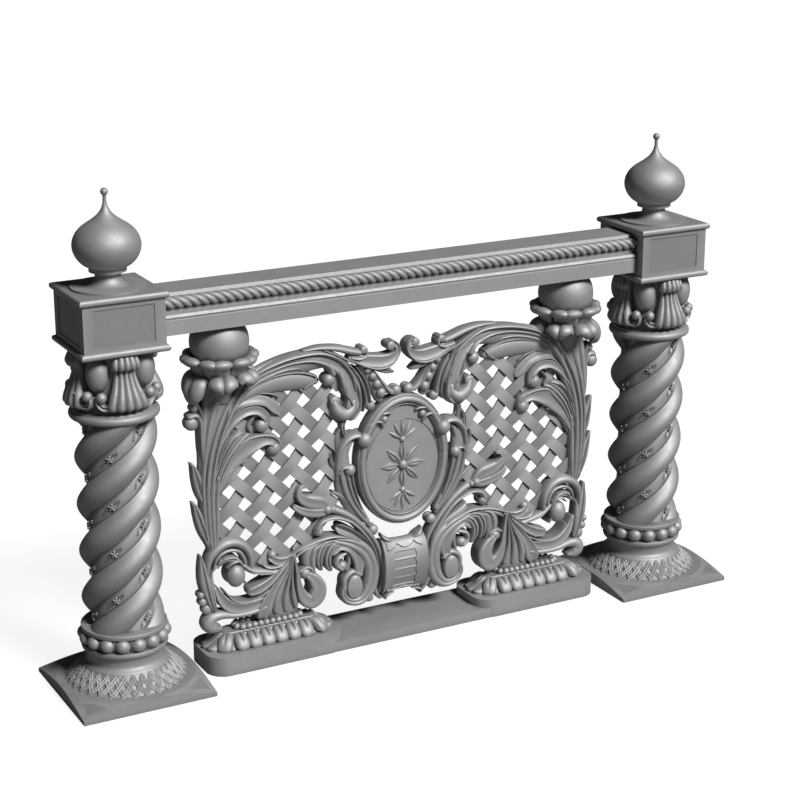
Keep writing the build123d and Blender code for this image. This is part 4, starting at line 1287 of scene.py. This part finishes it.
def cup(bm):
    outline = [(0, 765)] + CUP_LINE + [(77, 813), (70, 808), (58, 800), (0, 800)]
    funnel = turned(outline, 144)
    for vert in funnel.vertices:
        turn = math.atan2(vert.co.y, vert.co.x)
        pinch = abs(math.cos(PETAL_COUNT / 2 * turn)) ** 0.35
        share = min(1.0, max(0.0, (vert.co.z - 765) / 40))
        shrink = 1 - 0.17 * share * (1 - pinch)
        vert.co.x *= shrink
        vert.co.y *= shrink
    add_copy(bm, funnel, shift(BUD_X, 0, 0))
    lobe = Matrix.Rotation(math.radians(-14), 4, "Y") @ Matrix.Diagonal((19, 27, 12.5, 1))
    for k in range(PETAL_COUNT):
        for side in (1, -1):
            place = turn_z(60 * k + side * 11.5) @ shift(81, 0, 818) @ turn_z(side * 10)
            add_copy(bm, BALL, shift(BUD_X, 0, 0) @ place @ lobe)


SEPAL_LEAN = ((6, -12), (0, 14), (0, 18), (0, 4), (10, 2), (10, -14))


def sepals(bm):
    section = [(-1, -0.7), (-0.97, 0.1), (-0.82, 0.62), (-0.5, 0.96), (-0.24, 1), (-0.08, 0.76), (0, 0.62),
               (0.08, 0.76), (0.24, 1), (0.5, 0.96), (0.82, 0.62), (0.97, 0.1), (1, -0.7)]
    for k in range(PETAL_COUNT):
        turn = -73 + 60 * k
        lift, drop = SEPAL_LEAN[k]
        line = smooth_line([(38, 764, 20, 8), (56, 771 + lift, 31, 12), (74, 766 + lift, 37, 15),
                            (84, 753 + lift - drop / 2, 35, 15), (84, 741 + lift - drop, 27, 13),
                            (79, 732 + lift - drop, 16, 9), (75, 728 + lift - drop, 6, 5)], 4)
        frames = []
        for i, (radius, height, width, thick) in enumerate(line):
            r0, z0 = line[max(i - 1, 0)][:2]
            r1, z1 = line[min(i + 1, len(line) - 1)][:2]
            out = Vector((-(z1 - z0), 0, r1 - r0))
            frames.append(frame_at((radius, 0, height), (0, 1, 0), out, width, thick))
        add_copy(bm, sweep(section, frames), shift(BUD_X, 0, 0) @ turn_z(turn))
    add_copy(bm, turned([(0, 702), (24, 704), (31, 728), (38, 765), (0, 765)], 48), shift(BUD_X, 0, 0))


print("bud cup and sepals: ready")


# %% [markdown]
# On each foot lies a moulding of eighteen plump petals that fan outwards and turn up a lip at the tip. A
# plate lies on the petals, and a ring of small beads on the plate. A petal is one sweep down the slope,
# placed round the plate.

# %% Foot petals and bead rows
FOOT_X = 391.0
FRONT_PETALS = (18, 54.3, 90.5)
PETAL_HALF = 18.6
PETAL_SECTION = [(-1, -1.2), (-1, 0), (-0.9, 0.42), (-0.72, 0.74), (-0.48, 0.93), (-0.24, 1), (-0.1, 1),
                 (0, 1), (0.1, 1),
                 (0.24, 1), (0.48, 0.93), (0.72, 0.74), (0.9, 0.42), (1, 0), (1, -1.2)]
ROW_HALF_LENGTH = 92.0
ROW_HALF_DEPTH = 20.0
ROW_BEAD_RADIUS = 9.0


def petal(line):
    """A petal that falls towards -Y, along (distance out, height, share of its width) stations."""
    steps = smooth_line(line, 5)
    last = len(steps) - 1
    frames = []
    for i, (out, height, width) in enumerate(steps):
        y0, z0 = steps[max(i - 1, 0)][:2]
        y1, z1 = steps[min(i + 1, last)][:2]
        face = Vector((0, -(z0 - z1), y1 - y0))
        frames.append(frame_at((0, -out, height), (1, 0, 0), face, PETAL_HALF * width, 4 + 5 * width))
    motif = bmesh.new()
    add_copy(motif, sweep(PETAL_SECTION, frames))
    high, low = line[0][1], line[-1][1]
    for vert in motif.verts:
        share = (high + 4 - vert.co.z) / (high - low)
        groove = max(0.0, 1 - abs(vert.co.x) / 3.2) * max(0.0, 1 - share / 0.42)
        vert.co += Vector((0, 5, -4)) * groove
    return as_mesh(motif)


def petal_ring(bm):
    round_petal = petal([(12, 80, 0.8), (22, 79, 0.86), (36, 76, 0.95), (47, 68, 1.0), (53, 59, 0.98),
                         (54, 54, 0.86),
                         (52, 50, 0.6)])
    flared_petal = petal([(0, 84, 0.6), (12, 80, 0.8), (24, 70, 0.95), (36, 60, 1.0), (48, 55, 0.9),
                          (56, 54, 0.6),
                          (60, 53, 0.2)])
    core = bmesh.new()
    for half_length, half_depth, height in ((150, 48, 50.5), (126, 22, 84)):
        stadium(core, half_length, half_depth, height)
    bmesh.ops.bridge_loops(core, edges=core.edges[:])
    bmesh.ops.holes_fill(core, edges=core.edges[:], sides=0)
    add_copy(bm, as_mesh(core), shift(FOOT_X, 0, 0))
    for turn in (0, 180):
        for x in FRONT_PETALS:
            for side in (1, -1):
                add_copy(bm, round_petal, shift(FOOT_X, 0, 0) @ turn_z(turn) @ shift(side * x, 0, 0))
        corner = shift(FOOT_X, 0, 0) @ turn_z(turn)
        for side in (1, -1):
            place = corner @ shift(side * 108, -3, 0)
            add_copy(bm, round_petal, place @ turn_z(side * 38) @ Matrix.Diagonal((1.05, 1.0, 1, 1)))
            add_copy(bm, flared_petal, corner @ shift(side * 118, -4, 0) @ turn_z(side * 70))
        add_copy(bm, flared_petal, corner @ shift(121, 0, 0) @ turn_z(90) @ Matrix.Diagonal((0.9, 1.0, 1, 1)))
    plate = bmesh.new()
    for height, grow in ((83, -2), (84.5, 0), (88.5, 0), (90, -1.5)):
        stadium(plate, 132 + grow, 26 + grow, height)
    bmesh.ops.bridge_loops(plate, edges=plate.edges[:])
    bmesh.ops.holes_fill(plate, edges=plate.edges[:], sides=0)
    add_copy(bm, as_mesh(plate), shift(FOOT_X, 0, 0))


def stadium(bm, half_length, half_depth, height):
    """A level ring with round ends."""
    ring = bmesh.ops.create_circle(bm, segments=48, radius=half_depth)["verts"]
    for vert in ring:
        stretch = half_length - half_depth
        vert.co = (vert.co.x + math.copysign(stretch, vert.co.x - 1e-4), vert.co.y, height)
    return ring


def bead_row(bm):
    """Beads side by side round the plate, and the low core they stand against."""
    straight = ROW_HALF_LENGTH - ROW_HALF_DEPTH
    length = 4 * straight + 2 * math.pi * ROW_HALF_DEPTH
    count = round(length / (1.84 * ROW_BEAD_RADIUS))
    for k in range(count):
        way = length * k / count
        side = 1
        if way > length / 2:
            way, side = way - length / 2, -1
        if way < 2 * straight:
            place = (side * (way - straight), -side * ROW_HALF_DEPTH)
        else:
            turn = (way - 2 * straight) / ROW_HALF_DEPTH - math.pi / 2
            place = (side * (straight + ROW_HALF_DEPTH * math.cos(turn)),
                     side * ROW_HALF_DEPTH * math.sin(turn))
        add_ball(bm, (FOOT_X + place[0], place[1], 96.4), (ROW_BEAD_RADIUS,) * 3, SMALL_BALL)
    core = bmesh.new()
    for height in (89.5, 95):
        stadium(core, ROW_HALF_LENGTH - 5, ROW_HALF_DEPTH - 5, height)
    bmesh.ops.bridge_loops(core, edges=core.edges[:])
    bmesh.ops.holes_fill(core, edges=core.edges[:], sides=0)
    add_copy(bm, as_mesh(core), shift(FOOT_X, 0, 0))


print("foot petals and bead rows: ready")


# %% [markdown]
# Along both upper edges of the handrail runs a rope moulding: a round bar of three strands twisted together.
# It is the shaft's method once more, laid on its side.

# %% Rope mouldings
ROPE_PITCH = 22.4
ROPE_STRANDS = 3
ROPE_HALF_LENGTH = 678.0
ROPE_OFFSET = 60.5
ROPE_HEIGHT = 987.0
ROPE_STRAND_RADIUS = 8.6
ROPE_STRAND_OFFSET = 6.6


def rope_motif():
    section = []
    for strand in range(ROPE_STRANDS):
        for angle in (-58, -44, -28, -10, 10, 28, 44, 58):
            side = ROPE_STRAND_OFFSET * math.sin(math.radians(angle))
            reach = ROPE_STRAND_OFFSET * math.cos(math.radians(angle))
            reach += math.sqrt(ROPE_STRAND_RADIUS ** 2 - side ** 2)
            turn = math.radians(angle + 120 * strand)
            section.append((reach * math.cos(turn), reach * math.sin(turn)))
    frames = []
    steps = 420
    for i in range(steps + 1):
        x = -ROPE_HALF_LENGTH + 2 * ROPE_HALF_LENGTH * i / steps
        turn = Matrix.Rotation(2 * math.pi * x / (ROPE_PITCH * ROPE_STRANDS), 4, "X")
        frames.append(shift(x, 0, 0) @ turn @ turn_z(90))
    return sweep(section, frames)


print("rope mouldings: ready")


# %% Cut the middle pieces, the buds, the feet and the ropes
SINGLE_PARTS = {"medallion_ring": medallion_ring, "medallion_disc": medallion_field, "collar": collar}
for part, carve in SINGLE_PARTS.items():
    piece_bm = bmesh.new()
    carve(piece_bm)
    finish_piece(piece_bm, part + "_carved", [part])
PAIRED_PARTS = {"bud_cup": cup, "sepals": sepals, "foot_petals": petal_ring, "foot_bead_row": bead_row}
for part, carve in PAIRED_PARTS.items():
    half_bm = bmesh.new()
    carve(half_bm)
    half = as_mesh(half_bm)
    for side, turn in (("right", Matrix.Identity(4)), ("left", MIRROR_X)):
        piece_bm = bmesh.new()
        add_copy(piece_bm, half, turn)
        finish_piece(piece_bm, f"{side}_{part}_carved", [f"{side}_{part}"])
ROPE = rope_motif()
for face, offset in (("front", -ROPE_OFFSET), ("back", ROPE_OFFSET)):
    piece_bm = bmesh.new()
    add_copy(piece_bm, ROPE, shift(0, offset, ROPE_HEIGHT))
    finish_piece(piece_bm, face + "_rope_twisted", [face + "_rope"])
print("middle pieces, buds, feet and ropes cut")


# %% [markdown]
# The photograph looks down a little at the bay from its left. The camera's place, turn and lens were solved
# from the object's own right angles, so the sizes on the render match the photograph's.

# %% Camera
camera = bpy.data.cameras.new("camera")
camera.lens = 87.456
camera.sensor_width = 36.0
camera_object = bpy.data.objects.new("camera", camera)
camera_object.location = (-2.27638, -4.24063, 2.15789)
camera_object.rotation_euler = (math.radians(72.4), 0.0, math.radians(-28.221))
bpy.context.scene.collection.objects.link(camera_object)
bpy.context.scene.camera = camera_object
print("camera set")


# %% [markdown]
# The light is one key from the right, the front and above, with a faint fill from all round. To the camera
# the floor and the world are white, and the floor keeps the object's soft shadow. The floor itself is grey,
# so that it throws little light up under the mouldings.

# %% Floor, world and lamp
KEY_STRENGTH = 4.4
KEY_ANGLE = 18.0
KEY_TOWARDS = (0.24, -0.69, 0.68)
FILL_STRENGTH = 0.02
FLOOR_GLOW = 0.9
FLOOR_GREY = 0.15


def white_floor():
    bm = bmesh.new()
    bmesh.ops.create_grid(bm, x_segments=1, y_segments=1, size=80.0)
    bmesh.ops.translate(bm, vec=(0, 0, -0.0005), verts=bm.verts)
    floor = bpy.data.objects.new("floor", as_mesh(bm))
    bpy.context.scene.collection.objects.link(floor)
    material = bpy.data.materials.new("white_floor")
    material.use_nodes = True
    nodes, links = material.node_tree.nodes, material.node_tree.links
    shader = nodes["Principled BSDF"]
    shader.inputs["Base Color"].default_value = (FLOOR_GREY, FLOOR_GREY, FLOOR_GREY, 1.0)
    shader.inputs["Roughness"].default_value = 1.0
    shader.inputs["Emission Color"].default_value = (1, 1, 1, 1)
    path = nodes.new("ShaderNodeLightPath")
    glow = nodes.new("ShaderNodeMath")
    glow.operation = "MULTIPLY"
    glow.inputs[1].default_value = FLOOR_GLOW
    links.new(path.outputs["Is Camera Ray"], glow.inputs[0])
    links.new(glow.outputs["Value"], shader.inputs["Emission Strength"])
    floor.data.materials.append(material)
    return floor


def sky():
    world = bpy.data.worlds.new("world")
    world.use_nodes = True
    bpy.context.scene.world = world
    nodes, links = world.node_tree.nodes, world.node_tree.links
    fill = nodes["Background"]
    fill.inputs["Color"].default_value = (1, 1, 1, 1)
    fill.inputs["Strength"].default_value = FILL_STRENGTH
    seen = nodes.new("ShaderNodeBackground")
    seen.inputs["Strength"].default_value = 1.0
    path = nodes.new("ShaderNodeLightPath")
    mix = nodes.new("ShaderNodeMixShader")
    links.new(path.outputs["Is Camera Ray"], mix.inputs["Fac"])
    links.new(fill.outputs["Background"], mix.inputs[1])
    links.new(seen.outputs["Background"], mix.inputs[2])
    links.new(mix.outputs["Shader"], nodes["World Output"].inputs["Surface"])


def key_light():
    lamp = bpy.data.lights.new("key", "SUN")
    lamp.energy = KEY_STRENGTH
    lamp.angle = math.radians(KEY_ANGLE)
    key = bpy.data.objects.new("key", lamp)
    bpy.context.scene.collection.objects.link(key)
    towards = Vector(KEY_TOWARDS)
    key.rotation_euler = towards.to_track_quat("Z", "Y").to_euler()


white_floor()
sky()
key_light()
bpy.context.scene.view_settings.view_transform = "Standard"
print("floor, world and lamp set")
